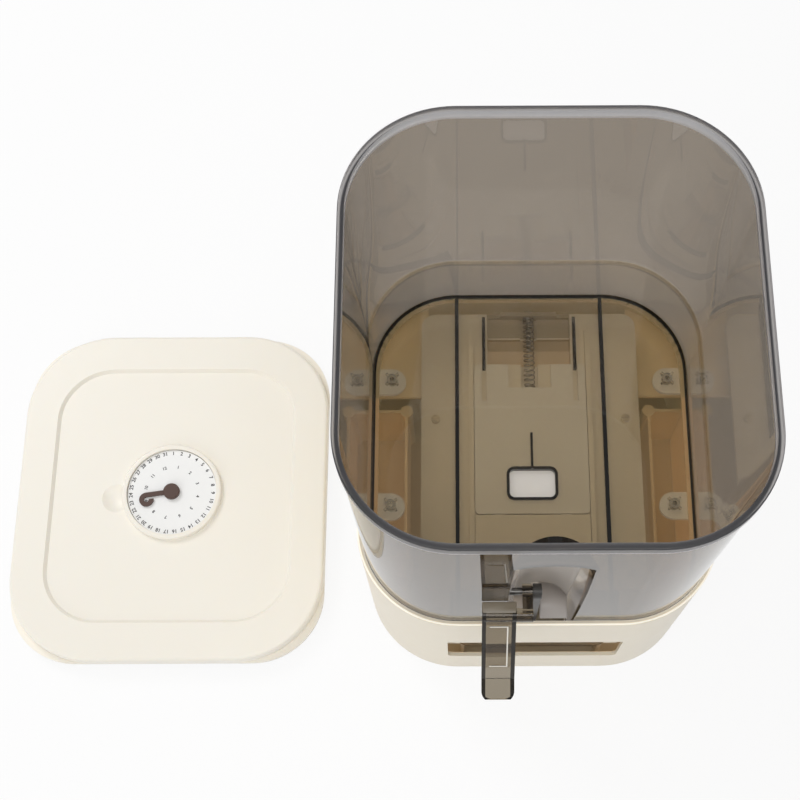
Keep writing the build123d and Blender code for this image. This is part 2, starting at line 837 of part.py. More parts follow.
def make_hook_pointer():
    low = cup_floor + disc_lift + disc_thickness + pointer_lift
    hub = rod(pointer_hub_radius, 0, 0, low, low + pointer_hub_height)
    hub = fillet(hub.edges().group_by(Axis.Z)[-1], pointer_hub_height / 5)
    reach, half = pointer_arm_length, pointer_arm_width / 2
    arm = block(0, reach, -half, half, low, low + pointer_arm_thickness)
    # The hook is three quarters of a ring beside the end of the arm
    ring = Circle(pointer_hook_radius + half) - Circle(pointer_hook_radius - half)
    ring = ring - Pos(-pointer_hook_radius, -pointer_hook_radius) * Rectangle(
        2 * pointer_hook_radius, 2 * pointer_hook_radius
    )
    ring = Pos(reach, pointer_hook_radius, low) * extrude(ring, pointer_arm_thickness)
    pointer = hub + arm + ring
    bore = post_pin_radius + pin_gap
    pointer = pointer - rod(bore, 0, 0, low, low + pointer_bore_depth)
    return Pos(lid_x, lid_y, 0) * Rot(Z=pointer_angle) * pointer


def make_hopper_screws():
    head = tab_top - tab_thickness
    return [screw(x, y, head, hopper_screw_bite) for x, y in screw_places]


def make_cover_screws():
    return [screw(x, y, screw_head_height + screw_gap / 2, cover_screw_bite) for x, y in post_places]


def make_deck_screws():
    driven_up = [screw(x, y, 0, deck_screw_bite) for x, y in deck_screw_places]
    return [Pos(0, 0, deck_top) * mirror(one, about=Plane.XY) for one in driven_up]


pieces = {
    "hopper": make_hopper(),
    "base_shell": make_base_shell(),
    "bottom_cover": make_bottom_cover(),
    "tray_housing": make_tray_housing(),
    "mechanism_deck": make_mechanism_deck(),
    "gate_slide": make_gate_slide(),
    "gate_spring": make_gate_spring(),
    "spring_guide_pin": make_spring_guide_pin(),
    "lever_handle": make_lever_handle(),
    "lever_pin": make_lever_pin(),
    "rocker_arm": make_rocker_arm(),
    "dispensing_tray": make_dispensing_tray(),
    "lid_shell": make_lid_shell(),
    "lid_seal": make_lid_seal(),
    "dial_cup": make_dial_cup(),
    "date_disc": make_date_disc(),
    "hook_pointer": make_hook_pointer(),
    "hopper_screws": Compound(children=make_hopper_screws()),
    "cover_screws": Compound(children=make_cover_screws()),
    "deck_screws": Compound(children=make_deck_screws()),
}

os.makedirs("parts", exist_ok=True)
for name, piece in pieces.items():
    export_step(piece, f"parts/{name}.step")
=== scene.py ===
import json
import math

import bmesh
import bpy
from bpy.props import FloatProperty, FloatVectorProperty, IntProperty, PointerProperty
from mathutils import Matrix, Vector


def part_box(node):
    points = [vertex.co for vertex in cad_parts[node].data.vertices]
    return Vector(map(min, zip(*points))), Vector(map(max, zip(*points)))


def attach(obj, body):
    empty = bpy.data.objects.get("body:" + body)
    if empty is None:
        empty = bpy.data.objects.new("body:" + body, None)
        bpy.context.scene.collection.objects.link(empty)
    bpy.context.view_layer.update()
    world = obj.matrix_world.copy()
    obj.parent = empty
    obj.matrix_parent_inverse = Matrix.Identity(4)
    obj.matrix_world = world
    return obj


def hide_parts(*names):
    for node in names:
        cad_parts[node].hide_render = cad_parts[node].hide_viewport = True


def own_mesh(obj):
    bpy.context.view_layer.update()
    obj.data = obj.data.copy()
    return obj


bl_info = {
    "name": "Rice dispenser looks",
    "version": (1, 0, 0),
    "blender": (4, 5, 0),
    "location": "View3D > Sidebar > Rice dispenser",
    "description": "Dresses a packed rice dispenser: clear hopper, cream base, date dial and studio",
    "category": "Object",
}

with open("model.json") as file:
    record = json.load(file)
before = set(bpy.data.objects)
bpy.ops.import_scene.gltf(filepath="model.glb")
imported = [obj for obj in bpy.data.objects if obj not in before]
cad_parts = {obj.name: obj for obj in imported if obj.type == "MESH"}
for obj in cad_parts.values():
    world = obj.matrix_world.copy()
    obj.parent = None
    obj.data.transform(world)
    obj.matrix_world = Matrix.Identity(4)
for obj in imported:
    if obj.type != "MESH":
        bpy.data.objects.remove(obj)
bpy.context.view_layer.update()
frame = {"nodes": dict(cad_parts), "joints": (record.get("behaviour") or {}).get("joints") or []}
NODES = frame["nodes"]
MM = 0.001
IMAGE_SIDE = 800
FILM_WIDTH = 36.0
NEAR, FAR = 0.01, 50.0
WHITE = (1, 1, 1)
BLACK = (0, 0, 0)
GREY = (0.5, 0.5, 0.5)
COLOUR, VALUE, VECTOR = "NodeSocketColor", "NodeSocketFloat", "NodeSocketVector"
MOULDED_IOR = 1.5
CLEAR_IOR = 1.49
GLOW_REACH = (2.5 * MM, 2.0 * MM, 1.4 * MM)
TARNISH = (0.30, 0.29, 0.27)
# Clouds in the plastic, with their swing in each channel, smears on it, and brushing of the steel
CLOUD_COARSE, CLOUD_FINE = 0.7, 0.3
CLOUD_SWING = (0.8, 1.0, 1.5)
SMEAR = 0.12
BRUSHING = 0.25
# Factor and the two colours among a Mix node's inputs, and the colour among its outputs
MIX_SLOTS = (0, 6, 7)
MIX_RESULT = 2


# Settings

def in_mm(name, description, millimetres):
    """Length, given in millimetres."""
    return FloatProperty(name=name, description=description, default=millimetres * MM, unit="LENGTH")


def rgb(name, description, *channels):
    """Colour of a surface or a light."""
    return FloatVectorProperty(
        name=name, description=description, default=channels, subtype="COLOR", min=0, max=1)


def in_degrees(name, description, degrees):
    """Angle, given in degrees."""
    return FloatProperty(name=name, description=description, default=math.radians(degrees), subtype="ANGLE")


def number(name, description, value):
    """Plain number."""
    return FloatProperty(name=name, description=description, default=value)


def fraction(name, description, value):
    """Share between nothing and all."""
    return FloatProperty(name=name, description=description, default=value, subtype="FACTOR", min=0, max=1)


def whole(name, description, value, least):
    """Whole number."""
    return IntProperty(name=name, description=description, default=value, min=least)


def in_metres(name, description, *metres):
    """Point in the scene, given in metres."""
    return FloatVectorProperty(
        name=name, description=description, default=metres, subtype="TRANSLATION", unit="LENGTH")


def in_watts(name, description, watts):
    """Power of a lamp."""
    return FloatProperty(name=name, description=description, default=watts, unit="POWER")


class PlasticSettings(bpy.types.PropertyGroup):
    """Colours of the plastics, the ink and the steel."""

    smoke_floor: rgb("Floor smoke", "Tint of the hopper's floor", 0.67, 0.62, 0.515)
    smoke_wall: rgb("Wall smoke", "Tint of the hopper's upright walls", 0.37, 0.335, 0.30)
    # Painted light: lighter tint of the low walls, brightening the shaded inside of the base seen through
    # them.
    smoke_low: rgb("Low wall smoke", "Tint of the walls where they stand in the base", 0.95, 0.93, 0.92)
    smoke_rim: rgb("Rim smoke", "Tint of the thick rim", 0.62, 0.64, 0.69)
    smoke_recess: rgb("Recess smoke", "Tint of the round recess", 0.92, 0.90, 0.88)
    recess_glow: rgb("Recess glow", "Light caught in the round recess", 0.075, 0.074, 0.076)
    rim_glow: rgb("Rim glow", "Light caught in the thick rim", 0.030, 0.031, 0.036)
    smoke_edge: rgb(
        "Edge smoke", "Tint of ribs and edges, where light is caught inside", 0.004, 0.004, 0.004)
    smoke_lever: rgb("Lever smoke", "Tint of the lever", 0.37, 0.33, 0.265)
    # Painted shade: the lever's upright edges are tinted nearly black, standing in for the light caught
    # inside them.
    smoke_cheek: rgb("Lever edge smoke", "Tint of the lever's upright edges", 0.02, 0.018, 0.015)
    crest_smoke: rgb("Crest smoke", "Colour of the thick crest at the lever's top", 0.20, 0.172, 0.128)
    smoke_tray: rgb("Tray smoke", "Tint of the tray", 0.80, 0.79, 0.77)
    smoke_depth: rgb("Smoke depth", "Colour that the clear plastic lets through in depth", 0.62, 0.57, 0.49)
    smoke_shadow: rgb(
        "Smoke shadow", "Colour of the lamps' light behind the clear plastic", 0.88, 0.86, 0.82)
    sheen: rgb("Sheen", "Warm tint of what the clear plastic mirrors", 1.0, 0.955, 0.91)
    smoke_density: number("Smoke density", "How fast the clear plastic takes up light, per metre", 200.0)
    cream_base: rgb("Base cream", "Colour of the base", 0.82, 0.745, 0.60)
    cream_inside: rgb(
        "Inside cream", "Colour inside the base, warm from light that bounces there", 0.86, 0.68, 0.44)
    cream_inner: rgb("Inner cream", "Colour of the deck and the tray housing", 0.86, 0.80, 0.70)
    cream_gate: rgb("Gate cream", "Colour of the gate", 0.88, 0.86, 0.83)
    cream_lid: rgb("Lid cream", "Colour of the lid and the dial cup", 0.92, 0.875, 0.785)
    seal_soft: rgb("Seal", "Colour of the lid's soft seal", 0.78, 0.76, 0.71)
    rocker_dark: rgb("Rocker dark", "Colour of the rocker arm", 0.045, 0.043, 0.040)
    # Painted highlight: pale line on the lever where light catches its raised frame.
    mark_pale: rgb("Mark pale", "Colour of the pale line on the lever", 0.80, 0.77, 0.70)
    pointer_brown: rgb("Pointer brown", "Colour of the hooked pointer", 0.075, 0.036, 0.024)
    disc_white: rgb("Disc white", "Colour of the date disc", 0.90, 0.90, 0.89)
    ink: rgb("Ink", "Colour of the printed figures", 0.02, 0.02, 0.022)
    steel_bright: rgb("Bright steel", "Colour of the screws in the hopper and the cover", 0.88, 0.88, 0.87)
    steel_deck: rgb("Deck screw steel", "Colour of the deck's dull screws", 0.78, 0.71, 0.58)
    steel_guide: rgb("Guide steel", "Colour of the pin inside the spring", 0.24, 0.22, 0.18)
    steel_pin: rgb("Pin steel", "Colour of the lever's blackened pin", 0.10, 0.10, 0.10)
    steel_spring: rgb("Spring steel", "Colour of the spring's wire", 0.56, 0.54, 0.50)


class HopperSettings(bpy.types.PropertyGroup):
    """Places on the hopper where its smoke changes."""

    floor_level: in_mm("Floor level", "Top of the floor", 100.0)
    floor_thickness: in_mm("Floor thickness", "Thickness of the floor", 2.6)
    floor_foot: in_mm("Floor foot", "Height over the floor up to which its tint goes on", 1.2)
    half_width: in_mm("Floor half width", "From the middle to the side wall at the floor", 108.8)
    half_depth: in_mm("Floor half depth", "From the middle to the back wall at the floor", 120.8)
    corner: in_mm("Floor corner", "Corner radius of the floor", 57.8)
    slack: in_mm("Slack", "How far off a face its own tint ends", 0.3)
    edge_width: in_mm("Edge width", "Width of the dark line round the floor", 1.2)
    # The fade blends the low walls' painted light into the full smoke above the base.
    fade: in_mm("Fade", "Height over the base in which the walls reach their full smoke", 9.0)
    fade_start: fraction("Fade start", "Share of the walls' smoke at the base's top", 0.6)
    rim_height: in_mm("Rim height", "Height of the thick rim", 7.2)
    rim_satin: fraction("Rim satin", "How much rougher the rim is", 0.30)
    gloss: fraction("Gloss", "Roughness of the clear walls", 0.015)
    outlet_y: in_mm("Outlet place", "Middle of the outlet, from the middle of the floor", -19.4)
    collar_half_width: in_mm("Collar half width", "From the outlet's middle to its collar's side", 17.7)
    collar_half_length: in_mm("Collar half length", "From the outlet's middle to its collar's end", 12.2)
    collar_wall: in_mm("Collar wall", "Thickness of the collar's wall", 1.9)
    collar_height: in_mm("Collar height", "Height up to which collar and fin are dark", 5.0)
    fin_half: in_mm("Fin half width", "Half the width of the dark fin", 2.0)
    fin_reach: in_mm("Fin reach", "From the outlet's middle to the end of the fin behind it", 36.5)
    rib_reach: in_mm("Rib reach", "How far to the sides the ribs lie", 60.0)
    rib_offset: in_mm("Rib offset", "From the gate's side out to a long rib", 12.0)
    rib_half: in_mm("Rib half width", "Half the width of the dark line over a long rib", 1.3)
    recess_half_width: in_mm("Recess half width", "Half the width of the front recess", 30.0)
    recess_start: in_mm("Recess start", "From the front back to the start of its tint", 6.4)
    recess_reach: in_mm("Recess reach", "How far the recess reaches back from the front", 42.0)
    recess_lean: number("Recess lean", "How far the recess's face leans back in its shading", 0.14)
    recess_satin: fraction("Recess satin", "How much rougher the recess's face is", 0.08)
    vault_drop: in_mm("Vault drop", "From the rim down to the foot of the recess's round top", 52.0)


class BaseSettings(bpy.types.PropertyGroup):
    """Light that shines through the base's wall."""

    wall: in_mm("Wall", "From the outside in to where the inside's tone starts", 2.5)
    tab_drop: in_mm("Tab drop", "From the hopper's floor down to under the screw tabs", 12.0)
    ledge_drop: in_mm("Ledge drop", "From the floor's underside down to under the ledge", 3.5)
    corner_front: in_mm("Corner front", "Front of the shaded corners at the back", 44.0)
    edge_height: in_mm("Edge height", "Height of the bright top edge", 0.6)
    edge_width: in_mm("Edge width", "Width of the bright top edge", 1.1)
    wall_glow: rgb(
        "Wall glow", "Light that shines through the base's wall behind the hopper", 0.72, 0.78, 0.86)
    corner_glow: rgb("Corner glow", "Light in the corners at the back", 0.10, 0.108, 0.08)
    edge_glow: rgb("Edge glow", "Light caught in the top edge", 0.75, 0.72, 0.66)
    inside_share: fraction("Inside share", "Share of the inside's own colour that glows", 0.24)
    tab_share: fraction("Tab share", "Share of the wall's glow on the screw tabs", 0.34)
    side_share: fraction("Side share", "Share of the wall's glow beside the hopper", 0.32)
    strength: fraction("Strength", "Strength of all the base's glow", 0.5)


class WellSettings(bpy.types.PropertyGroup):
    """Painted shade in the sunk well behind the gate, with a painted highlight along its step."""

    half_width: in_mm("Half width", "Half the width of the well", 29.5)
    front: in_mm("Front", "Front of the well", 71.0)
    fold: in_mm("Fold", "Where the well turns from warm to dark", 83.0)
    step: in_mm("Step", "Front edge of the step across the well", 91.6)
    # The pale line along the step is a painted highlight where the step's edge catches light.
    line: in_mm("Line", "Width of the pale line along the step", 0.9)
    warm: rgb("Warm shade", "Shade next to the gate", 0.86, 0.76, 0.64)
    dark: rgb("Dark shade", "Shade in front of the step", 0.62, 0.54, 0.42)
    deep: rgb("Deep shade", "Shade on the step", 0.55, 0.51, 0.44)


class RecessSettings(bpy.types.PropertyGroup):
    """Grey sheet in the round recess of the hopper's front: a painted reflection of the bright floor that the
    recess mirrors.
    """

    wall_front: in_mm("Wall front", "Place of the front wall at the rim", -125.8)
    wall_lean: number("Wall lean", "How far the front wall goes back for each step down", 0.01046)
    foot_level: in_mm("Recess foot", "Level of the recess's foot", 97.4)
    top_level: in_mm("Recess top", "Level of the recess's top", 287.0)
    foot_radius: in_mm("Foot radius", "Radius of the recess at its foot", 19.5)
    top_radius: in_mm("Top radius", "Radius of the recess at its top", 24.1)
    foot_depth: in_mm("Foot depth", "Depth of the recess at its foot", 28.4)
    top_depth: in_mm("Top depth", "Depth of the recess at its top", 13.2)
    face_low: in_mm("Face foot", "Lower end of the satin face", 151.0)
    face_high: in_mm("Face top", "Upper end of the satin face", 280.0)
    face_half: in_mm("Face half width", "Half the width of the satin face", 16.6)
    face_gap: in_mm("Face gap", "From the recess's wall to the satin face", 0.5)
    face_thickness: in_mm("Face thickness", "Thickness of the satin face", 0.2)
    rows: whole("Rows", "Steps up the satin face", 24, 2)
    columns: whole("Columns", "Steps across the satin face", 14, 2)
    cover: fraction("Cover", "How much of the recess the satin face hides", 0.5)
    # Greys of the painted reflection in the recess.
    grey: rgb("Satin grey", "Colour of the satin face", 0.56, 0.525, 0.49)
    sill_grey: rgb("Sill grey", "Colour of the sill at the foot of the satin face", 0.50, 0.465, 0.44)
    slot_left: in_mm("Slot left", "Left side of the slot that the rocker arm swings in", -8.4)
    slot_right: in_mm("Slot right", "Right side of the slot that the rocker arm swings in", -0.6)


class LeverSettings(bpy.types.PropertyGroup):
    """Places on the press lever."""

    half_width: in_mm("Half width", "Half the lever's width", 10.0)
    wall: in_mm("Wall", "Thickness of the lever's skin and edges", 2.4)
    edge_slack: in_mm("Edge slack", "How far past its side the dark edge reaches", 0.1)
    slope: in_degrees("Slope", "How steeply the lever hangs down", 57.0)
    root_y: in_mm("Root place", "Middle of the round bar at the lever's top", -132.0)
    root_z: in_mm("Root level", "Level of the round bar at the lever's top", 200.0)
    crest_back: in_mm("Crest back", "Rear edge of the crest that runs to the wall", -124.9)
    crest_rise: in_mm("Crest rise", "From the bar's middle up to the crest's top", 4.0)
    mark_start: in_mm("Mark start", "From the root down to the raised frame", 9.0)
    mark_length: in_mm("Mark length", "Length of the raised frame", 34.0)
    mark_half: in_mm("Mark half width", "Half the width of the raised frame", 5.5)
    # The pale line over the raised frame is a painted highlight.
    mark_line: in_mm("Mark line", "Width of the pale line", 0.8)
    mark_lift: in_mm("Mark lift", "Height of the pale line over the lever's face", 0.41)
    mark_rise: number("Mark rise", "Height of the pale line's top for each height of its foot", 1.1)


class DialSettings(bpy.types.PropertyGroup):
    """Printing on the date disc."""

    day_radius: in_mm("Day radius", "Middle of the ring of days", 30.5)
    day_height: in_mm("Day height", "Height of a day's figures", 2.7)
    month_radius: in_mm("Month radius", "Middle of the ring of months", 19.6)
    month_height: in_mm("Month height", "Height of a month's figures", 2.3)
    first_day: in_degrees("First day", "Angle of day 1 from the right", 91.5)
    first_month: in_degrees("First month", "Angle of month 1 from the right", 80.0)
    type_size: number("Type size", "Size of the type for each height of its figures", 1.42)
    type_steps: whole("Type steps", "Steps in the round strokes of the type", 3, 1)
    weight: in_mm("Weight", "How much the figures' strokes are thickened", 0.09)
    ink_thickness: in_mm("Ink", "Thickness of the printed figures", 0.03)


class SpringSettings(bpy.types.PropertyGroup):
    """Wire of the gate spring."""

    turns: whole("Turns", "Open turns of wire", 14, 3)
    end_turns: number("Closed turns", "Turns that lie close together at each end", 1.0)
    end_pitch: number("Closed pitch", "Pitch of the closed turns, in thicknesses of wire", 1.06)
    wire: in_mm("Wire", "Thickness of the wire", 0.9)
    sides: whole("Sides", "Faces round the wire", 10, 6)
    steps: whole("Steps", "Steps along one turn", 28, 8)


class StageSettings(bpy.types.PropertyGroup):
    """Camera, floor, lamps and world."""

    focal: number("Focal length", "In pixels of the photograph's frame", 1294.0)
    centre_x: number("Centre x", "Pixel that the camera looks at", 458.65)
    centre_y: number("Centre y", "Pixel that the camera looks at", 474.4)
    camera_place: in_metres("Camera place", "Where the camera stands", -0.05058, -0.29161, 0.93726)
    pitch: in_degrees("Pitch", "How far down the camera looks", 71.57)
    yaw: in_degrees("Yaw", "Turn of the camera to the right", 0.09)
    roll: in_degrees("Roll", "Tilt of the camera", -0.17)
    floor_half: in_mm("Floor half width", "From the middle to the floor's edge", 6000.0)
    floor_colour: rgb("Floor", "Colour of the floor", 0.90, 0.90, 0.90)
    floor_white: fraction("Floor white", "How much of the seen floor is plain white", 0.86)
    world_light: number("World light", "Strength of the even light all round", 0.47)
    top_place: in_metres("Top lamp place", "Where the lamp above hangs", 0.0, -0.40, 1.60)
    top_aim: in_metres("Top lamp aim", "Where the lamp above points", 0.0, 0.0, 0.1)
    top_size: in_mm("Top lamp size", "Side of the lamp above", 900.0)
    top_power: in_watts("Top lamp", "Power of the lamp above", 7.0)
    key_place: in_metres("Key lamp place", "Where the lamp at the back left hangs", -1.15, 0.95, 1.45)
    key_aim: in_metres("Key lamp aim", "Where the lamp at the back left points", -0.1, 0.0, 0.1)
    key_size: in_mm("Key lamp size", "Side of the lamp at the back left", 700.0)
    key_power: in_watts("Key lamp", "Power of the lamp at the back left", 11.0)
    fill_place: in_metres("Fill lamp place", "Where the lamp at the front hangs", -1.0, -1.3, 0.7)
    fill_aim: in_metres("Fill lamp aim", "Where the lamp at the front points", 0.0, 0.0, 0.12)
    fill_size: in_mm("Fill lamp size", "Side of the lamp at the front", 1000.0)
    fill_power: in_watts("Fill lamp", "Power of the lamp at the front", 5.0)


# Shader nodes

class Field:
    """Value over a surface: an output socket that takes part in sums, comparisons and masks."""

    def __init__(self, socket):
        self.socket = socket
        self.nodes = socket.id_data.nodes

    def __add__(self, other):
        return maths("ADD", self, other)

    def __sub__(self, other):
        return maths("SUBTRACT", self, other)

    def __rsub__(self, other):
        return maths("SUBTRACT", other, self)

    def __mul__(self, other):
        return maths("MULTIPLY", self, other)

    def __abs__(self):
        return maths("ABSOLUTE", self)

    def __gt__(self, edge):
        return maths("GREATER_THAN", self, edge)

    def __lt__(self, edge):
        return maths("LESS_THAN", self, edge)

    def __and__(self, mask):
        return maths("MULTIPLY", self, mask)

    def __or__(self, mask):
        return maths("MAXIMUM", self, mask)


def feed(value, socket):
    """Link a value to an input, or set a number or a colour on it."""
    if isinstance(value, Field):
        value = value.socket
    if isinstance(value, bpy.types.NodeSocket):
        socket.id_data.links.new(value, socket)
    elif socket.type == "RGBA":
        socket.default_value = (*value, 1.0)
    else:
        socket.default_value = value


def feed_all(values, sockets):
    """Feed the first inputs in their order."""
    for value, socket in zip(values, sockets):
        feed(value, socket)


def fields(sockets):
    """Output sockets as fields by their names."""
    return {socket.name: Field(socket) for socket in sockets}


def maths(operation, *values):
    """Math node on fields and numbers."""
    made = next(value for value in values if isinstance(value, Field)).nodes.new("ShaderNodeMath")
    made.operation = operation
    feed_all(values, made.inputs)
    return Field(made.outputs[0])


def new_group(name, inputs, outputs):
    """Empty shader group with its inner sockets; inputs give first values, outputs kinds."""
    group = bpy.data.node_groups.new(name, "ShaderNodeTree")
    for label, value in inputs.items():
        kind = COLOUR if isinstance(value, tuple) else VALUE
        socket = group.interface.new_socket(label, in_out="INPUT", socket_type=kind)
        socket.default_value = (*value, 1.0) if kind == COLOUR else value
    for label, kind in outputs.items():
        group.interface.new_socket(label, in_out="OUTPUT", socket_type=kind)
    given = group.nodes.new("NodeGroupInput")
    return group, fields(given.outputs), group.nodes.new("NodeGroupOutput").inputs


def placed(tree, group, **values):
    """Group node in a tree, with its own values."""
    made = tree.nodes.new("ShaderNodeGroup")
    made.node_tree = group
    for key, value in values.items():
        feed(value, made.inputs[key.replace("_", " ").capitalize()])
    return made


def shared_group(name, builder):
    """Shader group by name, built on first use."""
    return bpy.data.node_groups.get(name) or builder(name)


def object_place(tree):
    """Object coordinates."""
    return Field(tree.nodes.new("ShaderNodeTexCoord").outputs["Object"])


def axes(vector):
    """The three parts of a vector."""
    split = vector.nodes.new("ShaderNodeSeparateXYZ")
    feed(vector, split.inputs[0])
    return [Field(part) for part in split.outputs]


def outline_distance(tree, half_width, half_depth, corner):
    """Distance from a rounded rectangle round the middle."""
    group = shared_group("Rounded outline", build_outline_group)
    made = placed(tree, group, half_width=half_width, half_depth=half_depth, corner=corner)
    return Field(made.outputs["Distance"])


def noise(vector, scale, detail=2.0, roughness=0.5):
    """Noise texture."""
    made = vector.nodes.new("ShaderNodeTexNoise")
    for label, value in (("Vector", vector), ("Scale", scale), ("Detail", detail), ("Roughness", roughness)):
        feed(value, made.inputs[label])
    return Field(made.outputs["Fac"])


def remap(value, low, high, to_low, to_high):
    """Map Range node with a smooth step."""
    made = value.nodes.new("ShaderNodeMapRange")
    made.interpolation_type = "SMOOTHSTEP"
    feed_all((value, low, high, to_low, to_high), made.inputs)
    return Field(made.outputs["Result"])


def colour_of(red, green, blue):
    """Colour from three fields."""
    made = red.nodes.new("ShaderNodeCombineColor")
    feed_all((red, green, blue), made.inputs)
    return Field(made.outputs["Color"])


def blended(nodes, blend, *values):
    """Mix node on a factor and two colours."""
    made = nodes.new("ShaderNodeMix")
    made.data_type = "RGBA"
    made.blend_type = blend
    feed_all(values, [made.inputs[slot] for slot in MIX_SLOTS])
    return Field(made.outputs[MIX_RESULT])


def mixed(mask, below, above):
    """Colour that turns from one to another where a mask holds."""
    return blended(mask.nodes, "MIX", mask, below, above)


def tinted(colour, shade):
    """Colour times another colour."""
    return blended(colour.nodes, "MULTIPLY", 1.0, colour, shade)


# Shader groups

def build_moulded_group(name):
    """Tone, gloss and fine grain of a moulded plastic face."""
    group, given, out = new_group(
        name, {"Colour": (0.8, 0.8, 0.8), "Tone": 0.04, "Roughness": 0.35, "Grain scale": 900.0,
               "Grain depth": 0.5}, {"Colour": COLOUR, "Roughness": VALUE, "Height": VALUE})
    place = object_place(group)
    cloud = noise(place, scale=9.0, detail=3.0) * CLOUD_COARSE + noise(place, scale=46.0) * CLOUD_FINE
    tone = (cloud - 0.5) * given["Tone"]
    shade = colour_of(*(tone * swing + 1.0 for swing in CLOUD_SWING))
    feed(tinted(given["Colour"], shade), out["Colour"])
    smear = noise(place, scale=130.0, detail=3.0) - 0.5
    feed(given["Roughness"] + smear * SMEAR, out["Roughness"])
    feed(noise(place, given["Grain scale"], roughness=0.6) * given["Grain depth"], out["Height"])
    return group


def build_outline_group(name):
    """Distance from a rounded rectangle round the middle, negative inside it."""
    group, given, out = new_group(
        name, {"Half width": 0.1, "Half depth": 0.1, "Corner": 0.05}, {"Distance": VALUE})
    x, y, _ = axes(object_place(group))
    across = abs(x) - (given["Half width"] - given["Corner"])
    along = abs(y) - (given["Half depth"] - given["Corner"])
    squares = [maths("POWER", maths("MAXIMUM", beyond, 0.0), 2.0) for beyond in (across, along)]
    round_part = maths("SQRT", squares[0] + squares[1])
    flat_part = maths("MINIMUM", maths("MAXIMUM", across, along), 0.0)
    feed(round_part + flat_part - given["Corner"], out["Distance"])
    return group


def build_haze_group(name):
    """Faint flow in the tint of clear plastic, and the haze that hands leave on it."""
    group, given, out = new_group(
        name, {"Tint": (0.8, 0.8, 0.8), "Roughness": 0.02}, {"Tint": COLOUR, "Roughness": VALUE})
    place = object_place(group)
    stream = remap(noise(place, scale=14.0), 0.3, 0.7, 0.97, 1.0)
    feed(tinted(given["Tint"], colour_of(stream, stream, stream)), out["Tint"])
    haze = remap(noise(place, scale=22.0), 0.5, 0.8, 0.0, 0.012)
    feed(given["Roughness"] + haze, out["Roughness"])
    return group


def build_metal_group(name):
    """Fine drawing lines and tarnish on steel."""
    group, given, out = new_group(
        name, {"Colour": (0.7, 0.7, 0.7), "Roughness": 0.25, "Line scale": 1400.0},
        {"Colour": COLOUR, "Roughness": VALUE, "Height": VALUE})
    place = object_place(group)
    lines = noise(place, given["Line scale"], detail=3.0, roughness=0.7)
    dull = remap(noise(place, scale=240.0), 0.35, 0.7, 0.0, 0.35)
    feed(mixed(dull, given["Colour"], TARNISH), out["Colour"])
    feed(given["Roughness"] + (lines - 0.5) * BRUSHING, out["Roughness"])
    feed(lines, out["Height"])
    return group


def build_hopper_group(hopper, base_top, front, rim_top, gate_half):
    """Tint of the hopper by place: floor, walls, rim, recess, and the dark ribs and edges."""
    tints = ("Floor", "Low wall", "Wall", "Rim", "Recess", "Edge", "Recess glow", "Rim glow")
    group, given, out = new_group(
        "Hopper smoke", dict.fromkeys(tints, GREY),
        {"Tint": COLOUR, "Roughness": VALUE, "Normal": VECTOR, "Emission Color": COLOUR})
    x, y, z = axes(object_place(group))
    x = abs(x)
    floor_top = hopper.floor_level + hopper.slack
    floor_under = hopper.floor_level - hopper.floor_thickness - hopper.slack
    wall_foot = hopper.floor_level + hopper.floor_foot

    # Floor, walls, recess and rim; the lighter tint of the low walls and its fade are painted light,
    # brightening the shaded inside of the base seen through them
    above_floor = z > wall_foot
    tint = mixed(above_floor, given["Floor"], given["Low wall"])
    fade = remap(z, base_top, base_top + hopper.fade, hopper.fade_start, 1.0)
    tint = mixed((z > base_top) & fade, tint, given["Wall"])
    recess = (above_floor & (x < hopper.recess_half_width) & (y < front + hopper.recess_reach)
              & (y > front + hopper.recess_start))
    tint = mixed(recess, tint, given["Recess"])
    rim = z > rim_top - hopper.rim_height
    tint = mixed(rim, tint, given["Rim"])

    # Dark ribs and edges
    vault = recess & (z > rim_top - hopper.vault_drop)
    ribs = (z < floor_under) & (x < hopper.rib_reach)
    in_floor = z > floor_under
    band = (abs(x - (gate_half + hopper.rib_offset)) < hopper.rib_half) & (z < floor_top) & in_floor
    from_outlet = abs(y - hopper.outlet_y)
    hole = ((x < hopper.collar_half_width - hopper.collar_wall)
            & (from_outlet < hopper.collar_half_length - hopper.collar_wall))
    low = z < hopper.floor_level + hopper.collar_height
    raised = z > floor_top
    collar = ((x < hopper.collar_half_width) & (from_outlet < hopper.collar_half_length) & low
              & (hole | raised))
    fin = (x < hopper.fin_half) & (from_outlet < hopper.fin_reach) & low & raised
    distance = outline_distance(group, hopper.half_width, hopper.half_depth, hopper.corner)
    line = (distance > -hopper.edge_width) & (z < wall_foot) & in_floor
    feed(mixed(ribs | collar | fin | line | vault | band, tint, given["Edge"]), out["Tint"])

    # Glow and satin of the recess and the rim
    face = recess - vault
    glow = mixed(face, BLACK, given["Recess glow"])
    feed(mixed(rim, glow, given["Rim glow"]), out["Emission Color"])
    feed(face * hopper.recess_satin + rim * hopper.rim_satin + hopper.gloss, out["Roughness"])

    # The recess leans back a little in its shading normal, so that its face mirrors the bright floor in front
    side, ahead, up = axes(Field(group.nodes.new("ShaderNodeNewGeometry").outputs["Normal"]))
    leaning = group.nodes.new("ShaderNodeCombineXYZ")
    feed_all((side, ahead, up + recess * (hopper.recess_lean - up)), leaning.inputs)
    unit = group.nodes.new("ShaderNodeVectorMath")
    unit.operation = "NORMALIZE"
    feed(leaning.outputs[0], unit.inputs[0])
    feed(unit.outputs[0], out["Normal"])
    return group


def build_lever_group(lever, middle):
    """Tint of the lever, with painted shade on its upright edges, standing in for the light caught inside
    them.
    """
    group, given, out = new_group("Lever smoke", {"Face": GREY, "Edge": BLACK}, {"Tint": COLOUR})
    aside = abs(axes(object_place(group))[0] - middle)
    edge = (aside > lever.half_width - lever.wall) & (aside < lever.half_width + lever.edge_slack)
    feed(mixed(edge, given["Face"], given["Edge"]), out["Tint"])
    return group


